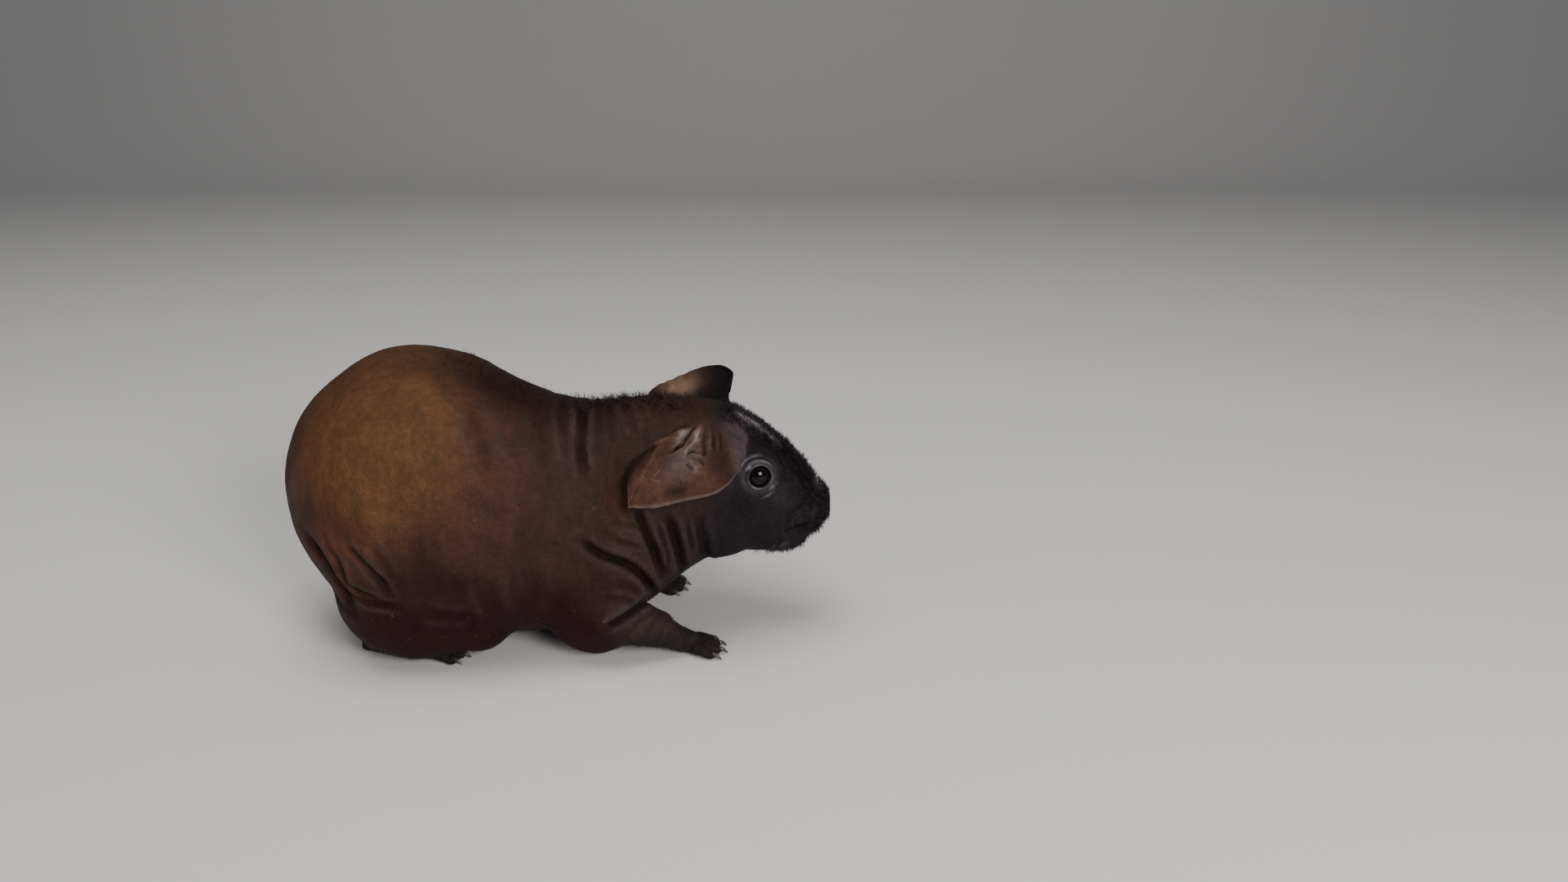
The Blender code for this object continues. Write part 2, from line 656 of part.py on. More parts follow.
def build():
    clear_scene()
    parts = make_collection("skinny_pig")
    shop = make_collection("shop", is_helper=True)
    brown = make_material("body_skin", SKIN_BROWN, 0.55)
    dark = make_material("face_skin", SKIN_DARK, 0.5)
    ear_skin = make_material("ear_skin", EAR_BROWN, 0.5)
    glossy = make_material("eye", EYE_BLACK, 0.08)

    flesh = [make_trunk(shop)] + make_leg_forms(1, LEFT_WRIST, shop) + make_leg_forms(-1, RIGHT_WRIST, shop)
    body = fuse("body", flesh, 1.3, 26, shop)
    whole = fuse("whole", [body] + make_head_form(shop), 1.2, 8, shop)
    largest_piece(whole)
    add_folds(whole)
    whole = reduce_faces(whole, BODY_TRIANGLES, shop)
    skin = fattened(whole, GAP, shop)

    torso = copy_of(whole, "torso", shop)
    for side, word, wrist in ((1, "left", LEFT_WRIST), (-1, "right", RIGHT_WRIST)):
        mirror = np.array((1, side, 1))
        at_wrist = np.array(wrist) * mirror
        forearm = at_wrist - np.array(ELBOW) * mirror
        under_heel = box((-84, 24, -5), (-26, 42, HEEL_TOP + GAP), shop)
        if side < 0:
            under_heel = mirrored(under_heel, "under_heel", shop)

        leg = boolean(copy_of(whole, "fore_leg", shop), [fore_region(side, wrist, 0, shop)], "INTERSECT")
        boolean(leg, [block_at(at_wrist, forearm, 30, shop)], "DIFFERENCE")
        boolean(torso, [fore_region(side, wrist, GAP, shop)], "DIFFERENCE")
        finish(leg, "fore_leg_" + word, brown, parts)

        leg = boolean(copy_of(whole, "hind_leg", shop), [hind_region(side, 0, shop)], "INTERSECT")
        boolean(leg, [copy_of(under_heel, "notch", shop)], "DIFFERENCE")
        boolean(torso, [hind_region(side, GAP, shop)], "DIFFERENCE")
        boolean(torso, [under_heel], "DIFFERENCE")
        finish(leg, "hind_leg_" + word, brown, parts)

        ankle = np.array(wrist) - 0.16 * (np.array(wrist) - np.array(ELBOW))
        foot = make_foot("fore_foot", ankle, (wrist[0] + 9, wrist[1] - 1.5, 3.9), 4, 13, -6, shop)
        if side < 0:
            foot = mirrored(foot, "fore_foot", shop)
        boolean(foot, [block_at(at_wrist, -forearm, 30, shop)], "DIFFERENCE")
        finish(foot, "fore_foot_" + word, dark, parts)

        foot = make_foot("hind_foot", HEEL, HIND_BALL, 3, 12, 4, shop)
        boolean(foot, [box((-90, 20, HEEL_TOP), (-20, 50, 40), shop)], "DIFFERENCE")
        if side < 0:
            foot = mirrored(foot, "hind_foot", shop)
        finish(foot, "hind_foot_" + word, dark, parts)

        root, edge = (LEFT_EAR_ROOT, LEFT_EAR_EDGE) if side > 0 else (RIGHT_EAR_ROOT, RIGHT_EAR_EDGE)
        ear = make_ear("ear_" + word, side, root, edge, shop)
        boolean(ear, [copy_of(skin, "skin", shop)], "DIFFERENCE")
        weld(ear, 0.1)
        finish(ear, "ear_" + word, ear_skin, parts)
        eye = ellipsoid("eye_" + word, np.array(EYE_CENTRE) * mirror, (EYE_RADIUS,) * 3, shop, 0, 18)
        finish(eye, "eye_" + word, glossy, parts)

    head = boolean(copy_of(torso, "head", shop), [leaning_block("ahead", HEAD_CUT, True, GAP, shop)], "INTERSECT")
    neck = boolean(copy_of(torso, "neck", shop), [leaning_block("behind", HEAD_CUT, False, GAP, shop)], "INTERSECT")
    boolean(neck, [leaning_block("ahead", NECK_CUT, True, GAP, shop)], "INTERSECT")
    boolean(torso, [leaning_block("behind", NECK_CUT, False, GAP, shop)], "INTERSECT")
    for side in (1, -1):
        open_eye(head, side, shop)
    cut_mouth(head, shop)
    finish(head, "head", dark, parts)
    finish(neck, "neck", brown, parts)
    finish(torso, "torso", brown, parts)
    centre_on_origin(list(parts.objects))
    for obj in list(shop.objects):
        bpy.data.objects.remove(obj)


build()
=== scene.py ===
import math

import bmesh
import bpy
import numpy as np
from mathutils import Matrix, Vector
from mathutils.bvhtree import BVHTree
from mathutils.kdtree import KDTree


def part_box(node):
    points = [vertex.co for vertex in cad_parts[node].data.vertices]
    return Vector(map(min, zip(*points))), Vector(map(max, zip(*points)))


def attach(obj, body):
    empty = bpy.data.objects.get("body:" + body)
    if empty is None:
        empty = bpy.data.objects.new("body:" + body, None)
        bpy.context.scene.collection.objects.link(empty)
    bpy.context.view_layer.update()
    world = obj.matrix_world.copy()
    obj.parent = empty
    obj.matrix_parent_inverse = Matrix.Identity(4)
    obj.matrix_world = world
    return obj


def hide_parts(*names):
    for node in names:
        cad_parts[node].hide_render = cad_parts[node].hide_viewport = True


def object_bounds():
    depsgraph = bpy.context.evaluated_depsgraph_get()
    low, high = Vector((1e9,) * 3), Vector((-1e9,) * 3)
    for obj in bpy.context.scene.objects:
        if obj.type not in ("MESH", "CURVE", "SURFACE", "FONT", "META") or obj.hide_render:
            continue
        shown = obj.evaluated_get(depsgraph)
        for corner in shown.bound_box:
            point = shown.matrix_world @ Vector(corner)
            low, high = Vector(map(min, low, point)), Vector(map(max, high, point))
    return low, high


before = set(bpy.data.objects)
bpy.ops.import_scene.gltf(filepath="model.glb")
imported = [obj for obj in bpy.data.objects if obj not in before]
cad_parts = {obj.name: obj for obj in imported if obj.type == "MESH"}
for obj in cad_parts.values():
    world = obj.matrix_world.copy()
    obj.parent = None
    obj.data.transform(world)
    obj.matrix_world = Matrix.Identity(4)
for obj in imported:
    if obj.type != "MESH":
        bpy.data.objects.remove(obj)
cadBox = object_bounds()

# Shapes are worked out in millimetres, as in the part's own drawing, and Blender gets them in metres.
mm = 0.001
# The animal's left has y above zero.
words = {1: "left", -1: "right"}


# Shape tools

def smoothLine(knots):
    # a curve through (x, value) knots that doesn't overshoot them
    xs, ys = np.array(knots, float).T
    steps = np.diff(xs)
    slopes = np.diff(ys) / steps
    tangents = np.empty_like(ys)
    tangents[0], tangents[-1] = slopes[0], slopes[-1]
    for i in range(1, len(xs) - 1):
        before, after = slopes[i - 1], slopes[i]
        if before * after <= 0:
            tangents[i] = 0
        else:
            w1 = 2 * steps[i] + steps[i - 1]
            w2 = steps[i] + 2 * steps[i - 1]
            tangents[i] = (w1 + w2) / (w1 / before + w2 / after)

    def value(x):
        x = np.clip(x, xs[0], xs[-1])
        i = np.clip(np.searchsorted(xs, x) - 1, 0, len(steps) - 1)
        t = (x - xs[i]) / steps[i]
        return (
            (1 + 2 * t) * (1 - t) ** 2 * ys[i]
            + t * (1 - t) ** 2 * steps[i] * tangents[i]
            + t * t * (3 - 2 * t) * ys[i + 1]
            + t * t * (t - 1) * steps[i] * tangents[i + 1]
        )

    return value


def smoothPath(points):
    # three smooth lines that run through the points, from 0 to 1
    place = np.linspace(0, 1, len(points))
    lines = [smoothLine(list(zip(place, column))) for column in np.array(points, float).T]
    return lambda t: np.stack([line(t) for line in lines], axis=-1)


def cap(distance, rounding):
    t = np.clip(distance / rounding, 0, 1)
    return math.sqrt(1 - (1 - t) ** 2)


def bell(x):
    return np.exp(-x * x)


def step(low, high, x):
    t = np.clip((x - low) / (high - low), 0, 1)
    return t * t * (3 - 2 * t)


def unit(vector):
    vector = np.asarray(vector, float)
    return vector / np.linalg.norm(vector)


def unitRows(rows):
    return rows / np.maximum(np.linalg.norm(rows, axis=1), 1e-9)[:, None]


def sided(point, side):
    return np.asarray(point, float) * (1, side, 1)


def addObject(name, data):
    obj = bpy.data.objects.new(name, data)
    bpy.context.scene.collection.objects.link(obj)
    return obj


def objectFrom(name, mesh):
    data = bpy.data.meshes.new(name)
    mesh.to_mesh(data)
    mesh.free()
    return addObject(name, data)


def drop(obj):
    data = obj.data
    bpy.data.objects.remove(obj)
    if data.users == 0:
        (bpy.data.meshes if isinstance(data, bpy.types.Mesh) else bpy.data.curves).remove(data)


def evaluated(obj):
    # a new mesh of the object with its modifiers
    bpy.context.view_layer.update()
    graph = bpy.context.evaluated_depsgraph_get()
    return bpy.data.meshes.new_from_object(obj.evaluated_get(graph))


def asMesh(obj):
    data = evaluated(obj)
    name = obj.name
    drop(obj)
    data.name = name
    return addObject(name, data)


def loft(name, rings, tips=(None, None)):
    rings = np.asarray(rings) * mm
    mesh = bmesh.new()
    rows = [[mesh.verts.new(p) for p in ring] for ring in rings]
    sides = len(rows[0])
    for a, b in zip(rows, rows[1:]):
        for i in range(sides):
            j = (i + 1) % sides
            mesh.faces.new((a[i], a[j], b[j], b[i]))
    for row, tip, flip in ((rows[0], tips[0], True), (rows[-1], tips[1], False)):
        centre = Vector(tip) * mm if tip is not None else sum((v.co for v in row), Vector()) / sides
        hub = mesh.verts.new(centre)
        for i in range(sides):
            j = (i + 1) % sides
            mesh.faces.new((row[j], row[i], hub) if flip else (row[i], row[j], hub))
    bmesh.ops.recalc_face_normals(mesh, faces=mesh.faces)
    return objectFrom(name, mesh)


def ellipsoid(name, centre, radii, tilt=0.0, segments=32):
    mesh = bmesh.new()
    bmesh.ops.create_uvsphere(mesh, u_segments=segments, v_segments=segments // 2, radius=mm)
    bmesh.ops.scale(mesh, vec=radii, verts=mesh.verts)
    turn = Matrix.Rotation(math.radians(tilt), 3, "Y")
    bmesh.ops.rotate(mesh, cent=(0, 0, 0), matrix=turn, verts=mesh.verts)
    bmesh.ops.translate(mesh, vec=Vector(centre) * mm, verts=mesh.verts)
    return objectFrom(name, mesh)


def tube(name, points, radii, resolution=4, steps=6):
    # a round limb along a smooth curve through the points, with its own radius at each of them
    path = smoothPath(points)
    radius = smoothLine(list(zip(np.linspace(0, 1, len(points)), radii)))
    curve = bpy.data.curves.new(name, "CURVE")
    curve.dimensions = "3D"
    curve.bevel_depth = mm
    curve.bevel_resolution = resolution
    curve.use_fill_caps = True
    spline = curve.splines.new("POLY")
    places = np.linspace(0, 1, steps * (len(points) - 1) + 1)
    spline.points.add(len(places) - 1)
    for point, place in zip(spline.points, places):
        point.co = (*(path(place) * mm), 1)
        point.radius = float(radius(place))
    solid = asMesh(addObject(name, curve))
    mesh = bmesh.new()
    mesh.from_mesh(solid.data)
    bmesh.ops.remove_doubles(mesh, verts=mesh.verts, dist=0.02 * mm)
    bmesh.ops.recalc_face_normals(mesh, faces=mesh.faces)
    mesh.to_mesh(solid.data)
    mesh.free()
    return solid


# How finely each form is fused, in millimetres, and how many rounds soften it.
weave = {"body": (1.3, 26), "whole": (1.2, 8), "skin": (0.85, 2), "foot": (0.45, 6)}


def fuse(name, pieces):
    # one skin over all the pieces, with its inner corners softened
    voxel, rounds = weave[name]
    mesh = bmesh.new()
    for piece in pieces:
        mesh.from_mesh(piece.data)
    for piece in pieces:
        drop(piece)
    obj = objectFrom(name, mesh)
    remesh = obj.modifiers.new("Remesh", "REMESH")
    remesh.mode = "VOXEL"
    remesh.voxel_size = voxel * mm
    soften = obj.modifiers.new("Soften", "SMOOTH")
    soften.factor = 0.5
    soften.iterations = rounds
    return largestPiece(asMesh(obj))


def largestPiece(obj):
    mesh = bmesh.new()
    mesh.from_mesh(obj.data)
    unseen = set(mesh.verts)
    groups = []
    while unseen:
        group, edge = set(), [unseen.pop()]
        while edge:
            vert = edge.pop()
            group.add(vert)
            for link in vert.link_edges:
                other = link.other_vert(vert)
                if other in unseen:
                    unseen.remove(other)
                    edge.append(other)
        groups.append(group)
    if len(groups) > 1:
        keep = max(groups, key=len)
        bmesh.ops.delete(mesh, geom=[v for v in mesh.verts if v not in keep], context="VERTS")
        mesh.to_mesh(obj.data)
    mesh.free()
    return obj


def combine(obj, others, operation):
    group = bpy.data.collections.new("operands")
    bpy.context.scene.collection.children.link(group)
    for other in others:
        group.objects.link(other)
    modifier = obj.modifiers.new("Combine", "BOOLEAN")
    modifier.operation = operation
    modifier.operand_type = "COLLECTION"
    modifier.collection = group
    modifier.solver = "MANIFOLD"
    data = evaluated(obj)
    obj.modifiers.remove(modifier)
    obj.data = data
    for other in others:
        drop(other)
    bpy.data.collections.remove(group)
    return largestPiece(obj)


def readAll(items, field, width, kind=np.float32):
    # one field of every item, as rows
    values = np.empty(len(items) * width, kind)
    items.foreach_get(field, values)
    return values.reshape(-1, width)


def pointsOf(obj):
    return readAll(obj.data.vertices, "co", 3).astype(float) / mm


def normalsOf(obj):
    return readAll(obj.data.vertex_normals, "vector", 3).astype(float)


def setPoints(obj, points):
    obj.data.vertices.foreach_set("co", (points * mm).astype(np.float32).ravel())
    obj.data.update()


def relax(obj, weights, rounds):
    # smooths only where the weights say
    points = pointsOf(obj)
    size = len(points)
    a, b = readAll(obj.data.edges, "vertices", 2, np.int32).T
    near = (weights[a] > 0) | (weights[b] > 0)
    a, b = a[near], b[near]
    count = np.maximum(np.bincount(a, minlength=size) + np.bincount(b, minlength=size), 1)[:, None]
    for _ in range(rounds):
        sums = [np.bincount(a, p[b], size) + np.bincount(b, p[a], size) for p in points.T]
        mean = np.stack(sums, axis=1) / count
        points += 0.5 * weights[:, None] * np.where(count > 1, mean - points, 0)
    setPoints(obj, points)


def nearPath(points, path):
    # how far each point is from the path, and how far along the path it lies, from 0 to 1
    path = np.asarray(path, float)
    best = np.full(len(points), 1e9)
    along = np.zeros(len(points))
    runs = len(path) - 1
    for i in range(runs):
        a, run = path[i], path[i + 1] - path[i]
        t = np.clip((points - a) @ run / max(run @ run, 1e-12), 0, 1)
        away = np.linalg.norm(points - (a + t[:, None] * run), axis=1)
        closer = away < best
        best[closer] = away[closer]
        along[closer] = (i + t[closer]) / runs
    return best, along


def smoothNoise(seed, size, count=24):
    # a soft random field of bumps about the given size across, from -1 to 1
    pick = np.random.default_rng(seed)
    ways = unitRows(pick.normal(size=(count, 3)))
    lengths = size * 2 * pick.uniform(0.7, 1.4, count)
    waves = ways * (2 * math.pi / lengths)[:, None]
    phases = pick.uniform(0, 2 * math.pi, count)
    return lambda points: np.sin(points @ waves.T + phases).sum(1) / math.sqrt(count / 2) / 1.6


# The body, before its folds

trunk = {
    "back": [(-104, 113.5), (-82, 114), (-55, 115.3), (-33, 111.3), (-22, 105.2), (-12, 100), (2, 95),
             (16, 93.3), (30, 95), (45, 95.5), (60, 94), (72, 91)],
    "belly": [(-104, 38), (-92, 25), (-78, 12.5), (-60, 4.5), (-20, 2.5), (8, 3.5), (26, 7), (38, 13),
              (48, 21), (58, 29), (72, 36)],
    "widest": [(-104, 64), (-85, 57), (-55, 53), (-10, 47), (20, 44), (40, 48), (55, 54), (72, 60)],
    "halfWidth": [(-104, 47), (-85, 52), (-58, 56), (-35, 56.5), (-12, 52), (6, 47), (20, 43), (35, 37),
                  (50, 31.5), (72, 26)],
    "rump": -104,
    "rounding": 48,
}


def bodyRing(x, opened, lines, upper, lower, sides=56):
    # one ring round the body, more or less square above and below its widest height
    top, bottom, centre, half = (line(x) for line in lines)
    ring = []
    for i in range(sides):
        angle = 2 * math.pi * i / sides
        c, s = math.cos(angle), math.sin(angle)
        power = upper if s >= 0 else lower
        reach = (top - centre if s >= 0 else centre - bottom) * opened
        y = half * opened * math.copysign(abs(c) ** (2 / power), c)
        z = centre + reach * math.copysign(abs(s) ** (2 / power), s)
        ring.append((x, y, z))
    return ring


def makeTrunk():
    lines = [smoothLine(trunk[key]) for key in ("back", "belly", "widest", "halfWidth")]
    start, end = trunk["rump"], trunk["back"][-1][0]
    share = np.linspace(0, 1, 60)[1:]
    places = start + (end - start) * (0.35 * share + 0.65 * share**1.6)
    rings = [bodyRing(x, cap(x - start, trunk["rounding"]), lines, 2.05, 2.2) for x in places]
    return loft("trunk", rings, ((start, 0, float(lines[2](start))), None))


skull = {
    "crown": [(34, 93), (46, 95), (58, 95), (68, 93.2), (77, 88.8), (86, 82.3), (94, 75.6), (100, 69.2),
              (106, 61.6), (111, 57)],
    "jaw": [(34, 35), (46, 32), (60, 33), (72, 34.2), (84, 33), (92, 33.4), (98, 36.4), (104, 41), (111, 44)],
    "widest": [(34, 62), (56, 58), (72, 57), (86, 55), (98, 52), (111, 50.5)],
    "halfWidth": [(34, 28), (46, 27.5), (60, 26.5), (72, 25), (82, 22), (90, 17.9), (98, 13.9), (105, 11.8),
                  (111, 11.2)],
    "occiput": 34,
    "occiputRounding": 16,
    "nose": 111,
    "noseRounding": 13,
    # soft forms over it, given on the left where there are two: centre, radii and tilt
    "cheek": ((62, 14.8, 48.5), (21, 12, 13.5), 8),
    "muzzlePad": ((98, 6.2, 50), (10.5, 7.6, 9.2), 20),
    "orbit": ((80.5, 13.8, 70.5), (12, 7.4, 10), 30),
    "chin": ((92.8, 0, 37.4), (9.5, 7.6, 5.4), -8),
    "noseTip": ((104.4, 0, 55.2), (6, 6.4, 5.6), 30),
}


def makeHeadForms():
    lines = [smoothLine(skull[key]) for key in ("crown", "jaw", "widest", "halfWidth")]
    back, nose = skull["occiput"], skull["nose"]
    share = (1 - np.cos(np.linspace(0, math.pi, 46)[1:-1])) / 2
    rings = []
    for x in back + (nose - back) * share:
        opened = min(cap(x - back, skull["occiputRounding"]), cap(nose - x, skull["noseRounding"]) ** 0.8)
        rings.append(bodyRing(x, opened, lines, 2.15, 2.25))
    pieces = [loft("skull", rings, [(x, 0, float(lines[2](x))) for x in (back, nose)])]
    for side in (1, -1):
        for name in ("cheek", "muzzlePad", "orbit"):
            centre, radii, tilt = skull[name]
            pieces.append(ellipsoid(name, sided(centre, side), radii, tilt))
    pieces += [ellipsoid(name, *skull[name]) for name in ("chin", "noseTip")]
    return pieces


legs = {
    "elbow": (20.0, 37.5, 21.0),
    "leftWrist": (29.0, 30.0, 9.5),
    "rightWrist": (48.0, 31.0, 9.5),
    "hip": (-47.0, 37.0, 29.0),
    "knee": (-25.0, 37.0, 18.0),
    "heel": (-70.0, 32.0, 9.0),
    "hindBall": (-43.0, 34.0, 3.9),
    "thighRadii": (31, 17, 26.5),
    "kneeRadii": (14, 10.5, 13),
    "shinRadii": (12, 10, 7),
    "armOffset": (-2, -2.5, 6),
    "armRadii": (20, 11, 25),
    "forearmRadii": (11.5, 9.2, 7),
    "soleRadii": (6.3, 5, 4.2),
    # how many toes, the degrees from one to the next, and the foot's turn
    "foreToes": (4, 13, -6),
    "hindToes": (3, 12, 4),
    "toe": 1.9,
    "toeLength": 9.0,
    "toeGap": 3.1,
    "claw": 4.6,
    "clawRadius": 0.95,
}


def makeLegForms(side):
    keys = ("elbow", "knee", "heel", words[side] + "Wrist")
    elbow, knee, heel, wrist = (sided(legs[key], side) for key in keys)
    return [
        ellipsoid("thigh", sided(legs["hip"], side), legs["thighRadii"], -6),
        ellipsoid("knee", knee, legs["kneeRadii"]),
        tube("shin", [knee, (knee + heel) / 2, heel], legs["shinRadii"]),
        ellipsoid("arm", elbow + sided(legs["armOffset"], side), legs["armRadii"], -12),
        tube("forearm", [elbow, (elbow + wrist) / 2, wrist], legs["forearmRadii"]),
    ]


def makeFoot(ankle, ball, toeCount, spread, turn, side):
    # a foot flat on the floor whose toes fan out from its ball, and where its claws go
    ankle, ball = np.array(ankle, float), np.array(ball, float)
    pieces = [tube("sole", [ankle, (ankle + ball) / 2 - (0, 0, 0.6), ball], legs["soleRadii"])]
    claws = []
    turned = math.radians(turn)
    aside = np.array((-math.sin(turned), math.cos(turned), 0.0))
    toe = legs["toe"]
    for i in range(toeCount):
        place = i - (toeCount - 1) / 2
        way = turned + math.radians(spread * place)
        ahead = np.array((math.cos(way), math.sin(way), 0.0))
        knuckle = ball + aside * place * legs["toeGap"] + (0, 0, -0.4)
        tip = knuckle + ahead * (legs["toeLength"] - 1.6 * abs(place) ** 1.4)
        tip[2] = toe
        root = ball + aside * place * 1.4
        pieces.append(tube("toe", [root, knuckle + ahead * 2, tip], [3.2, toe * 1.2, toe]))
        pieces.append(ellipsoid("pad", tip, (toe * 1.3, toe * 1.1, toe), 0, 16))
        clawTip = tip + ahead * legs["claw"]
        clawTip[2] = 0.6
        claws.append((sided(tip + (0, 0, 0.5), side), sided(clawTip, side)))
    foot = fuse("foot", pieces)
    points = pointsOf(foot)
    points[:, 2] = np.maximum(points[:, 2], 0.0)
    points[:, 1] *= side
    setPoints(foot, points)
    if side < 0:
        foot.data.flip_normals()
    return foot, claws


ears = {
    "rightRoot": [(76, 11.6, 84.6), (68.5, 13.8, 86.6), (60.1, 15.3, 87), (52.8, 16.6, 86.8),
                  (47.5, 20, 84.6), (42.8, 23.4, 81.4)],
    "leftRoot": [(71.5, 14.2, 85.8), (65, 14.8, 86.7), (58, 15.8, 87.2), (51.5, 17.4, 86.4),
                 (46.5, 20.8, 84), (42.8, 23.4, 81.4)],
    "rightEdge": [(77.6, 20.5, 79.5), (74.5, 31.5, 75), (66.5, 37, 69.2), (55, 40, 67.5),
                  (43, 41.5, 65.5), (35, 41.5, 65.5), (34.5, 38.5, 74), (38, 32.5, 81.5)],
    "leftEdge": [(67.5, 27, 91), (70.5, 34.5, 96.5), (66, 41, 98), (57, 45, 95.5),
                 (46, 45.5, 91.5), (37, 43, 87.5), (34.5, 37, 85.5), (37, 30.5, 84)],
    "thickness": 1.25,
    "rim": 0.8,
}


def earSheet(side, columns, rows):
    # places over an ear: u runs from the front of its root to the back, v from the root to the rim
    u, v = np.meshgrid(np.linspace(0, 1, columns), np.linspace(-0.12, 1, rows), indexing="ij")
    root, fall = (smoothPath(ears[words[side] + key])(u) for key in ("Root", "Edge"))
    fall -= root
    arch = np.cross(fall, (1.0, 0, 0))
    arch /= np.linalg.norm(arch, axis=-1)[..., None]
    arch *= np.sign(arch[..., 1])[..., None]
    bow = 3.4 * np.sin(math.pi * np.clip(v, 0, 1)) * (0.3 + 0.7 * np.sin(math.pi * u))
    hollow = -1.8 * bell((v - 0.35) / 0.22) * bell((u - 0.45) / 0.3)
    return u, v, root + fall * v[..., None] + arch * (bow + hollow)[..., None]


# Strokes on an ear, as places on it: path, half width and depth in millimetres. Below zero it is a ridge.
earStrokes = {
    "size": (46, 22),
    "right": [
        ([(0.43, -0.05), (0.47, 0.01), (0.49, 0.08), (0.51, 0.15), (0.52, 0.21), (0.55, 0.26),
          (0.59, 0.3)], 0.62, 1.7),
        ([(0.51, 0), (0.56, 0.05), (0.58, 0.12), (0.58, 0.19)], 1, -0.9),
        ([(0.48, -0.03), (0.56, -0.05), (0.66, -0.07), (0.78, -0.06), (0.88, -0.04), (0.95, 0)], 0.7, 0.9),
        ([(0.41, 0), (0.42, 0.1), (0.43, 0.2), (0.46, 0.28), (0.49, 0.34)], 0.9, -0.9),
        ([(0.35, -0.02), (0.36, 0.16), (0.35, 0.36), (0.34, 0.43)], 0.55, 0.7),
        ([(0.46, 0.4), (0.45, 0.34), (0.42, 0.33), (0.39, 0.4)], 0.38, 0.75),
        ([(0.38, 0.35), (0.34, 0.41)], 0.36, 0.6),
        ([(0.42, 0.37), (0.38, 0.43)], 0.5, -0.55),
        ([(0.39, 0.44), (0.36, 0.52), (0.34, 0.59)], 0.38, 0.6),
        ([(0.44, 0.47), (0.4, 0.53)], 0.5, -0.45),
        ([(0.45, 0.52), (0.42, 0.59), (0.4, 0.64)], 0.36, 0.6),
        ([(0.4, 0.58), (0.38, 0.67)], 0.5, -0.4),
        ([(0.28, -0.06), (0.28, 0.15), (0.28, 0.36)], 0.42, 0.5),
        ([(0.215, -0.04), (0.225, 0.22), (0.235, 0.44)], 0.42, 0.45),
        ([(0.31, -0.02), (0.31, 0.2), (0.31, 0.4)], 0.55, -0.28),
        ([(0.6, 0.56), (0.62, 0.64)], 0.36, -0.4),
        ([(0.64, 0.67), (0.57, 0.71)], 0.34, -0.35),
        ([(0.52, 0.79), (0.47, 0.86), (0.41, 0.91)], 1.6, 0.45),
        ([(0.72, 0.5), (0.78, 0.52), (0.84, 0.58)], 0.7, 0.25),
        ([(0.95, 0.1), (0.86, 0.28), (0.82, 0.55), (0.8, 0.85)], 1.3, 0.5),
    ],
    "left": [
        ([(0.5, 0.02), (0.58, 0.18), (0.66, 0.32)], 1, 1.2),
        ([(0.22, 0.15), (0.26, 0.35), (0.28, 0.6)], 1, 0.5),
        ([(0.36, 0.1), (0.4, 0.35), (0.42, 0.6)], 1.2, -0.5),
        ([(0.62, 0.45), (0.72, 0.52), (0.8, 0.55)], 0.9, 0.3),
    ],
}


def strokeOnEar(side, u, v):
    # how far the strokes move each place on an ear, in millimetres
    wide, high = earStrokes["size"]
    flat = np.stack([u.ravel() * wide, v.ravel() * high], axis=1)
    relief = np.zeros(len(flat))
    for path, width, depth in earStrokes[words[side]]:
        away, along = nearPath(flat, np.multiply(path, (wide, high)))
        ends = np.clip(np.minimum(along, 1 - along) * 4 + 0.2, 0, 1)
        relief -= depth * bell(away / width) * ends
        relief += 0.3 * depth * bell((away - 2 * width) / width) * ends
    return relief.reshape(u.shape)


def makeEar(side):
    # a petal with an outer, hollow face and a smooth inner one, thinner to its rim
    columns, rows = 150, 100
    u, v, middle = earSheet(side, columns, rows)
    normal = np.cross(np.gradient(middle, axis=0), np.gradient(middle, axis=1))
    normal /= np.linalg.norm(normal, axis=-1)[..., None]
    normal *= np.sign((normal * (0.1, 0.9, 0.5)).sum(-1).mean())
    edge = np.minimum(np.minimum(u, 1 - u) * 1.6, 1 - v)
    half = (ears["rim"] + (ears["thickness"] - ears["rim"]) * step(0, 0.35, edge)) / 2
    half = half * (0.35 + 0.65 * np.sqrt(np.clip(edge / 0.03, 0, 1)))
    relief = strokeOnEar(side, u, v)
    fields = (smoothNoise(7 + side, 5.0), smoothNoise(17 + side, 13.0))
    ripple, wave = (field(middle.reshape(-1, 3)).reshape(u.shape) for field in fields)
    middle = middle + normal * (0.45 * wave * step(0.1, 0.6, v))[..., None]
    rimRoll = 0.35 * bell((edge - 0.035) / 0.03)
    outer = middle + normal * (half + relief * step(0, 0.06, edge) + 0.08 * ripple + rimRoll)[..., None]
    inner = middle - normal * (half - relief * 0.55 * step(0, 0.06, edge))[..., None]
    mesh = bmesh.new()
    grids = []
    for sheet, order in ((outer, 1), (inner, -1)):
        grid = [[mesh.verts.new(sided(p, side) * mm) for p in column] for column in sheet]
        grids.append(grid)
        for a, b in zip(grid, grid[1:]):
            for j in range(rows - 1):
                mesh.faces.new((a[j], b[j], b[j + 1], a[j + 1])[::order])
    top, under = grids
    border = [(i, 0) for i in range(columns)] + [(columns - 1, j) for j in range(1, rows)]
    border += [(i, rows - 1) for i in range(columns - 2, -1, -1)] + [(0, j) for j in range(rows - 2, 0, -1)]
    for (i, j), (k, m) in zip(border, border[1:] + border[:1]):
        mesh.faces.new((top[i][j], under[i][j], under[k][m], top[k][m]))
    bmesh.ops.recalc_face_normals(mesh, faces=mesh.faces)
    return objectFrom("ear", mesh)


# The sculpted skin

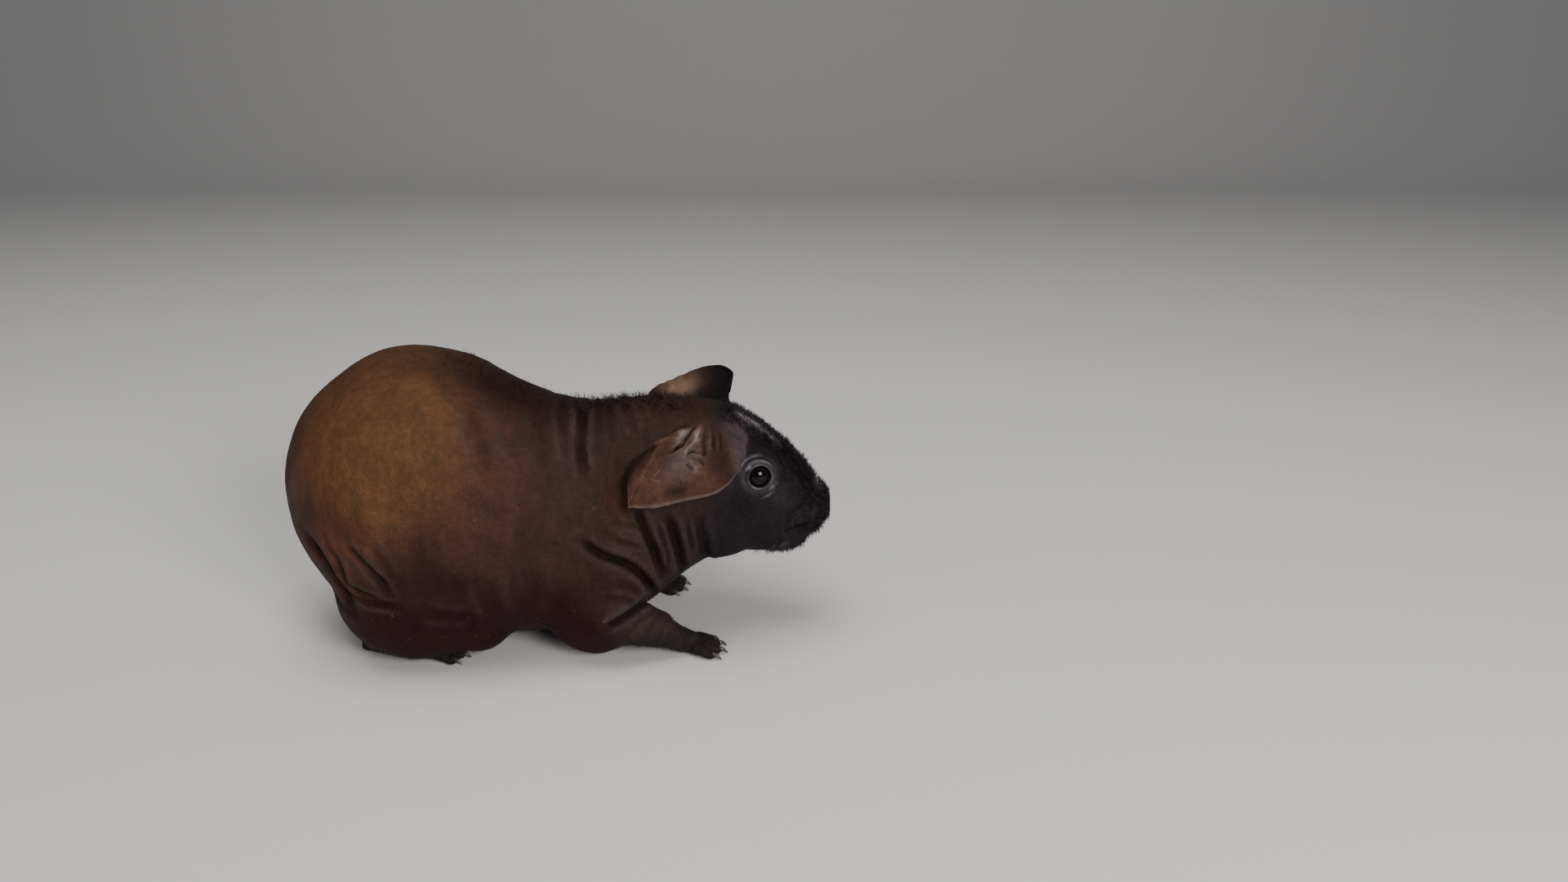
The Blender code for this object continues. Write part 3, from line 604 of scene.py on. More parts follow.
# Folds of loose skin, given on the left and laid on both sides: path, half width, depth.
folds = {
    "leftShare": 0.85,
    "main": [
        ([(12, 0, 93.3), (14, 8, 92.5), (15.3, 16, 89.5), (15.8, 24, 86.2), (17, 30, 80),
          (19, 34, 73)], 1.6, 1.3),
        ([(37, 35, 63), (38.6, 34.4, 58), (41, 33.2, 50), (43.4, 31.6, 42), (44, 26, 33)], 1.5, 2),
        ([(47.2, 32, 61), (50.7, 31, 50.6), (52, 27.3, 40), (52, 20, 32)], 1.6, 1.7),
        ([(60, 28.8, 58), (60.9, 28, 49.4), (61.8, 23.5, 39), (61, 17, 33)], 1.7, 1.1),
        ([(17, 43, 54), (20, 42, 50.5), (25, 40.2, 46), (32.3, 37.6, 42), (37, 33.6, 36), (40.8, 26, 25.5),
          (41.4, 20, 20.6)],
         1.35, 2.1),
        ([(26, 46.5, 19.5), (28.5, 45.6, 20.7), (34, 41.4, 23), (37.8, 36.3, 24.4), (40, 24, 21)], 1.3, 1.7),
        ([(-84, 42, 57), (-79.7, 45.4, 52.4), (-76.8, 47, 49.8), (-73, 48.5, 42.5), (-69.3, 49.4, 35),
          (-66, 49, 26)],
         2.0, 2.0),
        ([(-66, 54, 57), (-63, 54.7, 54), (-59.4, 55.2, 50), (-56, 55.4, 46), (-53, 55, 42),
          (-51.4, 53.6, 35)], 1.4, 1.4),
        ([(-71.5, 51.7, 53), (-69.3, 52.4, 48), (-67.2, 50.6, 40), (-61, 52.2, 36.3),
          (-53.8, 53, 33.4)], 1.3, 1.4),
        ([(-71.7, 48.7, 39), (-66.8, 50.2, 35.4), (-59.4, 51.9, 32.8), (-54, 53, 32.2),
          (-48, 53, 32)], 1.2, 1.1),
    ],
    "fine": [
        ([(-56, 55.7, 58), (-53.3, 56.2, 53.3), (-51, 56.2, 48), (-49.3, 55.8, 43)], 1.7, 0.6),
        ([(-23.6, 23.6, 101), (-19.7, 32, 93.7), (-16, 38.4, 86), (-14, 43, 76)], 2.6, 0.55),
        ([(-9.7, 28, 91.2), (-7.6, 32.4, 87), (-6.4, 36, 83)], 1.8, 0.35),
        ([(-1.6, 11.4, 94.7), (1.7, 24, 89), (4.2, 32.5, 82), (5, 38, 74)], 2.2, 0.4),
        ([(27.7, 39, 53), (33.6, 37.6, 49.7), (39.8, 34.6, 47)], 0.95, 0.8),
        ([(30, 2, 95), (32, 10, 93.5), (35, 17, 90), (37, 23, 86)], 1.3, 0.5),
        ([(24, 2, 94.5), (25, 12, 92.5), (27, 20, 89), (29, 27, 84)], 1.1, 0.4),
        ([(6, 3, 96), (8, 14, 93), (10, 24, 88), (12, 32, 81)], 1.6, 0.4),
        ([(29, 40, 58), (34, 38, 57), (38, 36, 55)], 1, 0.45),
        ([(33, 38, 66), (35, 37, 60), (38, 36, 54)], 1.2, 0.5),
        ([(44, 33, 58), (46, 32.5, 50), (47.5, 31, 43), (47.5, 26, 34)], 1, 0.7),
        ([(55.5, 30, 55), (56.5, 29, 48), (57, 27.5, 41)], 1.1, 0.55),
        ([(66, 27, 52), (68, 26, 46), (67.5, 24, 39)], 1.1, 0.35),
        ([(28, 43, 36), (34, 40, 34), (38, 36, 29)], 1.3, 0.5),
        ([(24, 45, 31), (31, 43, 29), (37, 40, 26)], 1.1, 0.45),
        ([(34, 42, 16), (38, 40, 20), (42, 37, 22)], 1, 0.5),
        ([(38, 39, 13), (42, 37, 17), (45, 34, 19)], 0.9, 0.4),
        ([(42, 36, 11), (46, 34, 14.5), (48, 31, 16)], 0.8, 0.35),
        ([(-76, 49, 60), (-72, 51, 50), (-70, 51, 44)], 1.4, 0.6),
        ([(-80, 40, 34), (-74, 45, 30), (-66, 49, 26)], 1.6, 0.55),
        ([(-40, 54, 30), (-32, 51, 27), (-24, 47, 26)], 1.8, 0.5),
        ([(-18, 50, 44), (-16, 49, 34), (-15, 46, 24)], 2.6, 0.45),
        ([(-2, 50, 52), (0, 49, 42), (1, 47, 32)], 2.4, 0.35),
    ],
}
# The muzzle's strokes: path, width, depth, and how strong its ridges and how sharp its ends are.
muzzle = {
    "mouth": ([(91.5, 16.2, 45), (95, 15, 46.2), (99, 13.8, 47), (103, 12.2, 47.2), (106.2, 9.4, 46.6),
               (107.8, 5.6, 45.8), (108.2, 2.5, 45.3), (108.2, 0, 45)], 0.6, 1.6, 0.3, 9),
    "nostril": ([(109.4, 1.8, 56.2), (108.6, 3.2, 57.2), (107.2, 4.6, 58.4), (105.6, 5.2, 59.8)],
                0.6, 1.8, 0.35, 6),
    "wing": ([(109.4, 4, 54.6), (107.8, 6.2, 56.2), (105.6, 7.4, 58), (103.6, 7.4, 60.4)], 0.8, 0.55, 0.5),
    "bridge": ([(103.0, 5.2, 62.4), (99.0, 7.6, 65.0), (95.0, 9.4, 68.0)], 1.3, 0.3, 0.2),
    "padFold": ([(107.6, 7.4, 53.6), (104.4, 10.6, 54.8), (101.0, 12.8, 55.2), (97.0, 14.8, 53.6),
                 (94, 16.2, 50.4)], 1.2, 0.4, 0.4),
    "lipFold": ([(90.5, 17.0, 47.6), (89.6, 16.6, 43.5), (90.2, 14.8, 39.6)], 1.1, 0.55, 0.4),
    "lip": ([(94.5, 14.4, 43.6), (99, 13, 44.4), (103.2, 10.6, 44.4), (105.6, 6, 43.4), (106, 0, 43.2)],
            0.9, -0.35, 0),
    "cleft": ([(108.2, 0, 45.0), (110.4, 0, 48.5), (110.8, 0, 52.0), (110.2, 0, 55.4)], 0.55, 1.1, 0.25, 8),
}


# The hide's own unevenness: how deep each kind is, and how far apart or across its waves are.
slack = {
    "neckRings": (0.15, 5.2),
    "flankStreaks": (0.08, 8.5),
    "swellings": (0.28, 17.0),
    "pebbles": (0.05, 3.2),
}


def stroke(points, path, width, depth, ridge=0.35, fade=4.0):
    # a furrow between two low ridges, which fades at both ends; returns the shift of each point
    path = np.asarray(path, float)
    shift = np.zeros(len(points))
    reach = 4.5 * width
    near = ((points > path.min(0) - reach) & (points < path.max(0) + reach)).all(1)
    if not near.any():
        return shift
    away, along = nearPath(points[near], path)
    ends = np.clip(np.minimum(along, 1 - along) * fade + 0.12, 0, 1)
    shape = -depth * np.exp(-(away / width) ** 1.5) + ridge * depth * bell((away - 2.0 * width) / width)
    shift[near] = shape * ends
    return shift


def smoothed(path, count=14):
    return smoothPath(path)(np.linspace(0, 1, count))


eyes = {
    "centre": (81.6, 16.4, 69.6),
    "axis": (0.28, 0.94, 0.14),
    "radius": 5.8,
    "gap": 0.25,
    "lid": 1.15,
    "opening": (4.8, 4.85),
}


def eyeFrame(side):
    way = unit(sided(eyes["axis"], side))
    up = unit(np.array((0, 0, 1.0)) - way[2] * way)
    front = unit(np.cross(up, way))
    return sided(eyes["centre"], side), way, up, front * math.copysign(1, front[0])


def refineNear(obj, wanted, longest):
    # splits the edges longer than this between the points that are wanted
    mesh = bmesh.new()
    mesh.from_mesh(obj.data)
    mesh.verts.ensure_lookup_table()
    edges = [
        e for e in mesh.edges
        if wanted[e.verts[0].index] and wanted[e.verts[1].index] and e.calc_length() > longest * mm
    ]
    bmesh.ops.subdivide_edges(mesh, edges=edges, cuts=1, use_grid_fill=True)
    bmesh.ops.triangulate(mesh, faces=[f for f in mesh.faces if len(f.verts) > 4])
    mesh.to_mesh(obj.data)
    mesh.free()


def toEyes(obj):
    return np.linalg.norm(np.abs(pointsOf(obj)) - eyes["centre"], axis=1)


def softenJoins(skin, joints):
    # smooths the places where the feet, ears and lids grow out of the body
    points = pointsOf(skin)
    near = [step(1, 0.5, np.linalg.norm(points - place, axis=1) / reach) for place, reach in joints]
    relax(skin, np.max(near, axis=0), 14)
    roots = [sided(smoothed(ears[words[side] + "Root"], 24), side) for side in (1, -1)]
    relax(skin, np.max([step(4.6, 2.2, nearPath(points, root)[0]) for root in roots], axis=0), 10)
    rims = []
    for side in (1, -1):
        centre, way, _, _ = eyeFrame(side)
        offset = points - centre
        out = offset @ way
        radial = np.linalg.norm(offset - out[:, None] * way, axis=1)
        rims.append(step(4.8, 6.2, radial) * step(12.0, 9.0, radial) * (out > 0))
    relax(skin, np.max(rims, axis=0), 16)
    for _ in range(2):
        refineNear(skin, toEyes(skin) < 11, 0.3)
    relax(skin, step(11.5, 9.5, toEyes(skin)), 4)


def makeSkin():
    body = fuse("body", [makeTrunk()] + makeLegForms(1) + makeLegForms(-1))
    whole = fuse("whole", [body] + makeHeadForms())
    skin = fuse("skin", [whole])
    print("body fused:", len(skin.data.polygons), "faces")
    points = pointsOf(skin)
    fine = (np.linalg.norm(points - (103, 0, 50), axis=1) < 22) | (toEyes(skin) < 14)
    for path, width, _ in folds["main"]:
        fine |= nearPath(points * (1, -1, 1), smoothed(path))[0] < 2.2 * width
    refineNear(skin, fine, 0.5)

    claws, joints, pieces = [], [], []
    heel = np.array(legs["heel"])
    lid = eyes["radius"] + eyes["gap"] + eyes["lid"]
    for side in (1, -1):
        wrist = np.array(legs[words[side] + "Wrist"])
        ankle = wrist - 0.16 * (wrist - legs["elbow"])
        ball = (wrist[0] + 9, wrist[1] - 1.5, legs["hindBall"][2])
        for form in ((ankle, ball, *legs["foreToes"]), (heel, legs["hindBall"], *legs["hindToes"])):
            foot, nails = makeFoot(*form, side)
            pieces.append(foot)
            claws += nails
        places = ((wrist, 7.5), (heel, 9.0), (heel + (12, 0, -1), 7.0))
        joints += [(sided(place, side), reach) for place, reach in places]
        pieces += [makeEar(side), ellipsoid("lid", sided(eyes["centre"], side), (lid,) * 3, 0, 56)]
    skin = combine(skin, pieces, "UNION")
    print("feet, ears and lids joined:", len(skin.data.polygons), "faces")
    softenJoins(skin, joints)

    for side in (1, -1):
        centre, way, _, _ = eyeFrame(side)
        mesh = bmesh.new()
        bmesh.ops.create_cone(mesh, cap_ends=True, segments=72, radius1=0.8, radius2=1.25, depth=1.0)
        bmesh.ops.scale(mesh, vec=[size * mm for size in (*eyes["opening"], 12)], verts=mesh.verts)
        bmesh.ops.translate(mesh, vec=(0, 0, 8 * mm), verts=mesh.verts)
        turn = Vector(way).to_track_quat("Z", "Y").to_matrix()
        bmesh.ops.rotate(mesh, cent=(0, 0, 0), matrix=turn, verts=mesh.verts)
        bmesh.ops.translate(mesh, vec=Vector(centre) * mm, verts=mesh.verts)
        skin = combine(skin, [objectFrom("opening", mesh)], "DIFFERENCE")
        skin = combine(skin, [ellipsoid("socket", centre, (eyes["radius"] + 0.22,) * 3, 0, 56)], "DIFFERENCE")
    print("eyes opened")
    return skin, claws


def sculptLids(points, side):
    # the rim and folds round an eye and the wrinkles at its corners, and how much each place is painted pale:
    # the lids' pale rims, with painted sheen and highlights on and round them
    centre, way, up, front = eyeFrame(side)
    offset = points - centre
    out = offset @ way
    a, b = offset @ front, offset @ up
    radial = np.hypot(a, b * 1.04)
    angle = np.arctan2(b, a)
    here = (out > 0) & (radial < 16)
    above = step(0.1, 0.9, np.sin(angle))
    below = step(0.0, 0.8, -np.sin(angle))
    ring = lambda reach, width: bell((radial - reach) / width)
    turn = lambda towards, width: bell((angle - towards) / width)
    broken = 0.7 + 0.3 * smoothNoise(15, 5.0)(points)
    patch = 0.5 + 0.5 * smoothNoise(17, 1.3)(points)

    lid = 0.3 * ring(4.8, 0.45) + 0.1 * ring(6.4, 0.5) * broken + 0.22 * above * ring(8.4, 0.8)
    lid -= 0.26 * ring(5.65, 0.36) * (0.45 + 0.55 * below) * broken
    lid -= (0.1 * below + 0.5 * above) * ring(7.1 + 0.25 * above, 0.42) * (0.6 + 0.4 * broken)
    lid -= 0.1 * ring(9.2, 0.6) * below * broken
    frontCorner = turn(-0.72, 0.45) * step(5.4, 6.2, radial) * step(11.0, 7.8, radial)
    lid += 0.2 * frontCorner * np.sin(angle * 17 + radial * 1.4 + 5.0 * broken)
    backCorner = bell((np.abs(angle) - math.pi) / 0.5) * step(6.4, 7.4, radial) * step(12.5, 9.5, radial)
    lid += 0.14 * backCorner * np.sin(angle * 13 - radial * 0.8)
    # painted sheen and highlights round the eye, over the pale rims of the lids
    lidSheen = np.max([
        ring(5.0, 0.42) * (0.3 + 0.5 * turn(-2.3, 0.6) + 0.5 * turn(-0.3, 0.45)),
        0.15 * step(8.8, 5.2, radial),
        0.9 * turn(2.35, 0.32) * ring(5.6, 0.75) * patch,
        turn(-0.72, 0.28) * ring(7.0, 0.9) * patch,
        0.5 * turn(-1.15, 0.28) * ring(9.0, 0.5),
        0.35 * above * ring(6.3, 0.6),
        0.45 * above * ring(8.3, 0.6) * step(-0.4, 0.6, -np.cos(angle)),
    ], axis=0)
    return lid * here, lidSheen * here


def sculpt(skin):
    points, normals = pointsOf(skin), normalsOf(skin)
    tree = BVHTree.FromPolygons(points.tolist(), [tuple(face.vertices) for face in skin.data.polygons])

    def lay(side, path, *shape):
        # a stroke along a path that clings to the skin
        clung = [np.array(tree.find_nearest(Vector(p))[0]) for p in sided(smoothed(path), side)]
        return stroke(points, clung, *shape)

    shift = np.zeros(len(points))
    for path, width, depth in folds["main"] + folds["fine"]:
        for side in (1, -1):
            shift += lay(side, path, width, depth * (1.0 if side < 0 else folds["leftShare"]))
    # how deep each place was cut, kept for the painted shade in the creases and the painted highlight on the
    # ridges beside them
    furrow = shift.copy()

    # rings of slack skin round the neck, behind the ears and over the shoulders
    noise = lambda seed, size: smoothNoise(seed, size)(points)
    soft = noise(3, 14.0)
    x, y, z = points.T
    lean = x + (z - 60) * 0.28 + 2.2 * soft
    neck = step(-4, 14, x) * step(60, 48, x) * step(26, 44, z)
    depth, gap = slack["neckRings"]
    shift += depth * neck * np.sin(lean * 2 * math.pi / gap + 0.8 * soft)
    depth, gap = slack["flankStreaks"]
    flank = step(12, -10, x) * step(14, 40, z)
    streaks = np.sin((x + 4.5 * noise(5, 16.0)) * 2 * math.pi / gap)
    shift += depth * flank * streaks * (0.5 + 0.5 * noise(9, 18.0))
    depth, across = slack["swellings"]
    shift += depth * noise(11, across) * step(80, 60, x)
    depth, across = slack["pebbles"]
    shift += depth * noise(13, across) * step(76, 64, x)

    lidSheen = np.zeros(len(points))
    for side in (1, -1):
        lid, shine = sculptLids(points, side)
        shift += lid
        furrow += np.minimum(lid, 0) * 2.2
        lidSheen = np.maximum(lidSheen, shine)

    # mouth, cleft lip and nostrils
    for side in (1, -1):
        names = ("mouth", "nostril", "wing", "bridge", "padFold", "lipFold")
        cut = sum(lay(side, *muzzle[name]) for name in names)
        shift += cut + lay(side, *muzzle["lip"])
        furrow += cut
    cut = lay(1, *muzzle["cleft"])
    shift += cut
    furrow += cut
    pad = bell((x - 99) / 6) * bell((z - 51) / 4.5) * step(4, 9, np.abs(y))
    shift += 0.12 * pad * noise(19, 1.5)
    setPoints(skin, points + normals * shift[:, None])
    return furrow, lidSheen


def saveMask(obj, name, values):
    made = obj.data.attributes.new(name, "FLOAT", "POINT")
    made.data.foreach_set("value", np.asarray(values, np.float32))


def earMask(points):
    # 1 on the ears, fading over their roots, with the nearest place on the ear as u and v
    mask = np.zeros(len(points))
    uv = np.zeros((len(points), 2))
    dot = lambda a, b: (a * b).sum(1)
    for side in (1, -1):
        u, v, sheet = earSheet(side, 70, 54)
        alongU = np.gradient(sheet, u[:, 0], axis=0).reshape(-1, 3)
        alongV = np.gradient(sheet, v[0], axis=1).reshape(-1, 3)
        u, v, sheet = u.ravel(), v.ravel(), sheet.reshape(-1, 3)
        turned = sided(points, side)
        near = np.flatnonzero(((turned > sheet.min(0) - 3) & (turned < sheet.max(0) + 3)).all(1))
        tree = KDTree(len(sheet))
        for i, place in enumerate(sheet):
            tree.insert(place, i)
        tree.balance()
        best, away = np.array([tree.find(point)[1:] for point in turned[near].tolist()]).T
        best = best.astype(int)
        close = step(2.6, 1.3, away) * step(-0.13, -0.09, v[best])
        offset = turned[near] - sheet[best]
        p, q = alongU[best], alongV[best]
        pp, pq, qq, op, oq = dot(p, p), dot(p, q), dot(q, q), dot(offset, p), dot(offset, q)
        whole = pp * qq - pq * pq
        alongs = np.stack([(op * qq - oq * pq) / whole, (oq * pp - op * pq) / whole], axis=1)
        better = close > mask[near]
        mask[near[better]] = close[better]
        uv[near[better]] = (np.stack([u[best], v[best]], axis=1) + alongs)[better]
    return mask, uv


# Materials

class Value:
    # a socket that can be reckoned with, before or after the sign
    def __init__(self, kit, socket):
        self.kit = kit
        self.socket = socket

    def __add__(self, other):
        return self.kit.math("ADD", self, other)

    def __radd__(self, other):
        return self.kit.math("ADD", other, self)

    def __sub__(self, other):
        return self.kit.math("SUBTRACT", self, other)

    def __rsub__(self, other):
        return self.kit.math("SUBTRACT", other, self)

    def __mul__(self, other):
        return self.kit.math("MULTIPLY", self, other)

    def __rmul__(self, other):
        return self.kit.math("MULTIPLY", other, self)


class Shader:
    # a material being built node by node
    def __init__(self, name):
        self.material = bpy.data.materials.new(name)
        self.material.use_nodes = True
        self.tree = self.material.node_tree

    def feed(self, node, inputs):
        for key, value in inputs.items():
            if isinstance(value, Value):
                self.tree.links.new(value.socket, node.inputs[key])
            else:
                node.inputs[key].default_value = value

    def finished(self, inputs):
        self.feed(self.tree.nodes["Principled BSDF"], inputs)
        return self.material

    def node(self, kind, settings, inputs, output=0):
        node = self.tree.nodes.new(kind)
        for key, value in settings.items():
            setattr(node, key, value)
        self.feed(node, inputs)
        return Value(self, node.outputs[output])

    def math(self, operation, a, b):
        return self.node("ShaderNodeMath", {"operation": operation}, {0: a, 1: b})

    def mask(self, name):
        return self.node("ShaderNodeAttribute", {"attribute_name": name}, {}, 2)

    def mix(self, a, b, share, blend="MIX"):
        settings = {"data_type": "RGBA", "blend_type": blend, "clamp_factor": True}
        return self.node("ShaderNodeMix", settings, {0: share, 6: a, 7: b}, 2)

    def paint(self, colour, *layers):
        # lays the skin's named colours over one another, each as far as its mask or its own share says
        for layer in layers:
            name, share = layer if isinstance(layer, tuple) else (layer, self.mask(layer))
            colour = self.mix(colour, skinLook[name], share)
        return colour

    def noise(self, scale, detail, roughness, vector, distortion=0.0):
        inputs = {"Vector": vector, "Scale": scale, "Detail": detail, "Roughness": roughness}
        return self.node("ShaderNodeTexNoise", {}, {**inputs, "Distortion": distortion})

    def between(self, value, low, high, outLow=0.0, outHigh=1.0):
        inputs = {0: value, 1: low, 2: high, 3: outLow, 4: outHigh}
        return self.node("ShaderNodeMapRange", {"interpolation_type": "SMOOTHSTEP"}, inputs)

    def place(self, scale=(1, 1, 1)):
        where = self.node("ShaderNodeTexCoord", {}, {}, 3)
        return self.node("ShaderNodeMapping", {}, {"Vector": where, "Scale": scale})


skinLook = {
    "rump": (0.102, 0.045, 0.0205, 1),
    "thigh": (0.1, 0.034, 0.017, 1),
    "throat": (0.008, 0.0046, 0.0052, 1),
    # painted shade, dark and red, on the back end of the rump where it turns from the light
    "rearShade": (0.036, 0.0075, 0.0025, 1),
    "flank": (0.044, 0.0185, 0.0145, 1),
    "under": (0.0175, 0.0048, 0.005, 1),
    "spine": (0.018, 0.0075, 0.0052, 1),
    "neck": (0.0275, 0.0155, 0.012, 1),
    # painted shadow of the ear on the neck behind it
    "behindEarShade": (0.04, 0.0098, 0.0055, 1),
    # painted highlight on the raised ridges beside the folds
    "ridge": (0.05, 0.034, 0.034, 1),
    "arm": (0.032, 0.02, 0.018, 1),
    "face": (0.0112, 0.0078, 0.0108, 1),
    # painted sheen on the cheek in front of the eye and on the whisker pad
    "temple": (0.055, 0.038, 0.043, 1),
    "cheek": (0.025, 0.019, 0.0225, 1),
    "stripe": (0.31, 0.26, 0.285, 1),
    # pale lid rims, with painted sheen and highlights on and round them
    "lid": (0.245, 0.222, 0.245, 1),
    # painted shade in the creases of the folds, the lid grooves and the muzzle
    "foldShade": (0.0075, 0.0036, 0.0034, 1),
    "speck": (0.15, 0.095, 0.075, 1),
    "nose": (0.015, 0.0075, 0.0105, 1),
    # painted highlight on the skin at the top of the nose, where pale hairs also grow
    "nosePale": (0.21, 0.195, 0.22, 1),
    "foot": (0.02, 0.014, 0.014, 1),
    "earBack": (0.062, 0.027, 0.016, 1),
    "earMiddle": (0.09, 0.062, 0.062, 1),
    "earRed": (0.031, 0.012, 0.009, 1),
    "earFront": (0.058, 0.041, 0.046, 1),
    # pale patches of the ear, and painted highlight on its ridges
    "earPale": (0.245, 0.182, 0.165, 1),
    # dark patches of the ear, and painted shade in its slit and along its root crease
    "earDark": (0.016, 0.0065, 0.005, 1),
    # painted highlight along the ear's rim
    "earRimHighlight": (0.12, 0.08, 0.066, 1),
    "earInside": (0.0032, 0.0021, 0.003, 1),
    # painted light shining through the far ear
    "earGlow": (0.235, 0.145, 0.1, 1),
    "roughness": 0.62,
    "softness": 0.05,
}


def coatFields(kit):
    # where things lie, and a coarse, a middling and a fine noise
    where = kit.place()
    wide = kit.noise(26, 3, 0.55, where)
    return where, wide, kit.noise(80, 4, 0.6, where, 0.4), kit.noise(430, 3, 0.6, where)


def coatColour(kit, where, wide, blotch, grain):
    # the markings that the skin and the hair share, with their painted shade and painted sheen
    mask = kit.mask
    swing = (wide - 0.5) * 0.6 + (blotch - 0.5) * 0.35
    cloud = (blotch - 0.5) * 0.5
    colour = kit.paint(
        skinLook["flank"],
        ("rump", mask("rump") + swing * mask("rump")),
        ("under", mask("under") + swing * 0.4),
        ("spine", mask("spine") + swing * 0.3 * mask("spine")),
        ("neck", mask("neck") + swing * 0.4 * mask("neck")),
        # painted shade on the back end of the rump
        "rearShade",
        ("thigh", mask("thigh") * kit.between(blotch, 0.25, 0.6, 0.4, 1.0)),
        # painted shadow of the ear on the neck among these
        "throat", "behindEarShade", "arm",
    )
    face = kit.paint(
        skinLook["face"],
        # painted sheen on the cheek and the whisker pad
        ("cheek", mask("cheek") + cloud * mask("cheek")),
        "temple", "nose",
        # painted highlight at the top of the nose
        ("nosePale", mask("nosePale") * kit.between(grain, 0.42, 0.62)),
    )
    colour = kit.mix(colour, face, mask("face") + cloud * mask("faceEdge"))
    specks = kit.between(kit.noise(610, 1, 0.4, where), 0.73, 0.79) * mask("specks") * 0.3
    stripe = mask("stripe") * kit.between(grain, 0.36, 0.62, 0.15, 0.95)
    return kit.paint(colour, ("stripe", stripe), "foot", ("speck", specks))


def skinMaterial():
    kit = Shader("pigSkin")
    mask = kit.mask
    where, wide, blotch, grain = coatFields(kit)
    tall = kit.noise(1, 3, 0.6, kit.place((210, 150, 50)))
    ear = kit.paint(
        skinLook["earBack"],
        ("earMiddle", mask("earMiddle") + (blotch - 0.5) * 0.5),
        ("earRed", mask("earRed") + (blotch - 0.5) * 0.3 * mask("earRed")),
        "earFront",
        # pale patches, with painted highlight on the ear's ridges
        ("earPale", mask("earPale") * kit.between(grain, 0.3, 0.6, 0.6, 1.0)),
        # painted highlight on the rim, the ear's dark patches with painted shade in its slit and root crease,
        # and painted light through the far ear
        "earRimHighlight", "earDark", "earInside", "earGlow",
    )
    colour = kit.mix(coatColour(kit, where, wide, blotch, grain), ear, mask("ear"))
    # the lids' pale rims with their painted sheen
    lid = mask("lid") * kit.between(grain, 0.25, 0.6, 0.55, 1.0)
    # pale lid rims with painted sheen, painted highlight on the fold crests and painted shade in the creases
    colour = kit.paint(colour, ("lid", lid), "ridge", ("foldShade", mask("furrow")))
    tone = kit.between(tall, 0.3, 0.7, 0.9, 1.1) * kit.between(grain, 0.3, 0.7, 0.86, 1.14)
    tone = tone * kit.between(blotch, 0.25, 0.75, 0.8, 1.2)
    grey = kit.node("ShaderNodeCombineColor", {}, {0: tone, 1: tone, 2: tone})

    pores = kit.node("ShaderNodeTexVoronoi", {"feature": "DISTANCE_TO_EDGE"},
                     {"Vector": kit.place((1, 1, 0.6)), "Scale": 900})
    lines = kit.noise(1, 4, 0.65, kit.place((420, 330, 120)))
    height = kit.between(pores, 0.0, 0.25) * 0.6 + lines * 0.6 + kit.noise(230, 3, 0.6, where) * 0.7
    rough = skinLook["roughness"] + (grain - 0.5) * 0.34 + (wide - 0.5) * 0.16
    return kit.finished({
        "Base Color": kit.mix(colour, grey, 1.0, "MULTIPLY"),
        "Roughness": rough - mask("lid") * 0.25,
        "Coat Weight": mask("lid") * 0.5,
        "Normal": kit.node("ShaderNodeBump", {}, {"Strength": 0.5, "Distance": 0.0006, "Height": height}),
        "Coat Roughness": 0.25,
        "Subsurface Weight": skinLook["softness"],
        "Subsurface Radius": (1.0, 0.35, 0.2),
        "Subsurface Scale": 0.0015,
        "Specular IOR Level": 0.11,
    })


hairLook = {
    "dark": (0.01, 0.008, 0.01, 1),
    "darkShare": 0.6,
    "pale": (0.19, 0.165, 0.16, 1),
    "roughness": 0.5,
    "shine": 0.25,
}


def hairMaterial():
    kit = Shader("pigHair")
    dark = kit.mix(coatColour(kit, *coatFields(kit)), hairLook["dark"], hairLook["darkShare"])
    colour = kit.mix(dark, hairLook["pale"], kit.mask("pale"))
    return kit.finished({
        "Base Color": colour,
        "Roughness": hairLook["roughness"],
        "Specular IOR Level": hairLook["shine"],
    })


clawLook = {
    "dark": (0.036, 0.027, 0.024, 1),
    "light": (0.06, 0.045, 0.04, 1),
    "roughness": 0.32,
    "coat": 0.3,
}


def clawMaterial():
    kit = Shader("clawHorn")
    speckle = kit.noise(900, 3, 0.6, kit.place())
    colour = kit.mix(clawLook["dark"], clawLook["light"], kit.between(speckle, 0.3, 0.7))
    rough = clawLook["roughness"] + (speckle - 0.5) * 0.2
    return kit.finished({"Base Color": colour, "Roughness": rough, "Coat Weight": clawLook["coat"]})


eyeLook = {
    "pupil": (0.002, 0.0015, 0.002, 1),
    "iris": (0.01, 0.006, 0.006, 1),
    "streaks": (0.006, 0.004, 0.004, 1),
    "roughness": 0.05,
    "shine": 0.22,
}


def eyeMaterial():
    kit = Shader("eyeGloss")
    ring = kit.between(kit.mask("iris"), 0.35, 0.6)
    streaks = kit.between(kit.noise(900, 3, 0.6, kit.place()), 0.35, 0.7)
    iris = kit.mix(eyeLook["pupil"], eyeLook["iris"], ring)
    colour = kit.mix(iris, eyeLook["streaks"], streaks * 0.6)
    return kit.finished({
        "Base Color": colour,
        "Roughness": eyeLook["roughness"],
        "Specular IOR Level": eyeLook["shine"],
    })


# Building it all

skin, clawPlaces = makeSkin()
furrow, lidSheen = sculpt(skin)
print("skin sculpted:", len(skin.data.vertices), "points")

# From the drawing to the frame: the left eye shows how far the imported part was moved.
toFrame = np.mean([np.array(corner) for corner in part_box("eye_left")], axis=0) / mm - eyes["centre"]


def settle(obj, material):
    # moves a piece from the drawing to the frame, inside the box of the solids, and dresses it
    low, high = np.array(cadBox) / mm
    setPoints(obj, np.clip(pointsOf(obj) + toFrame, low + 0.02, high - 0.02))
    obj.data.materials.clear()
    obj.data.materials.append(material)
    obj.data.shade_smooth()


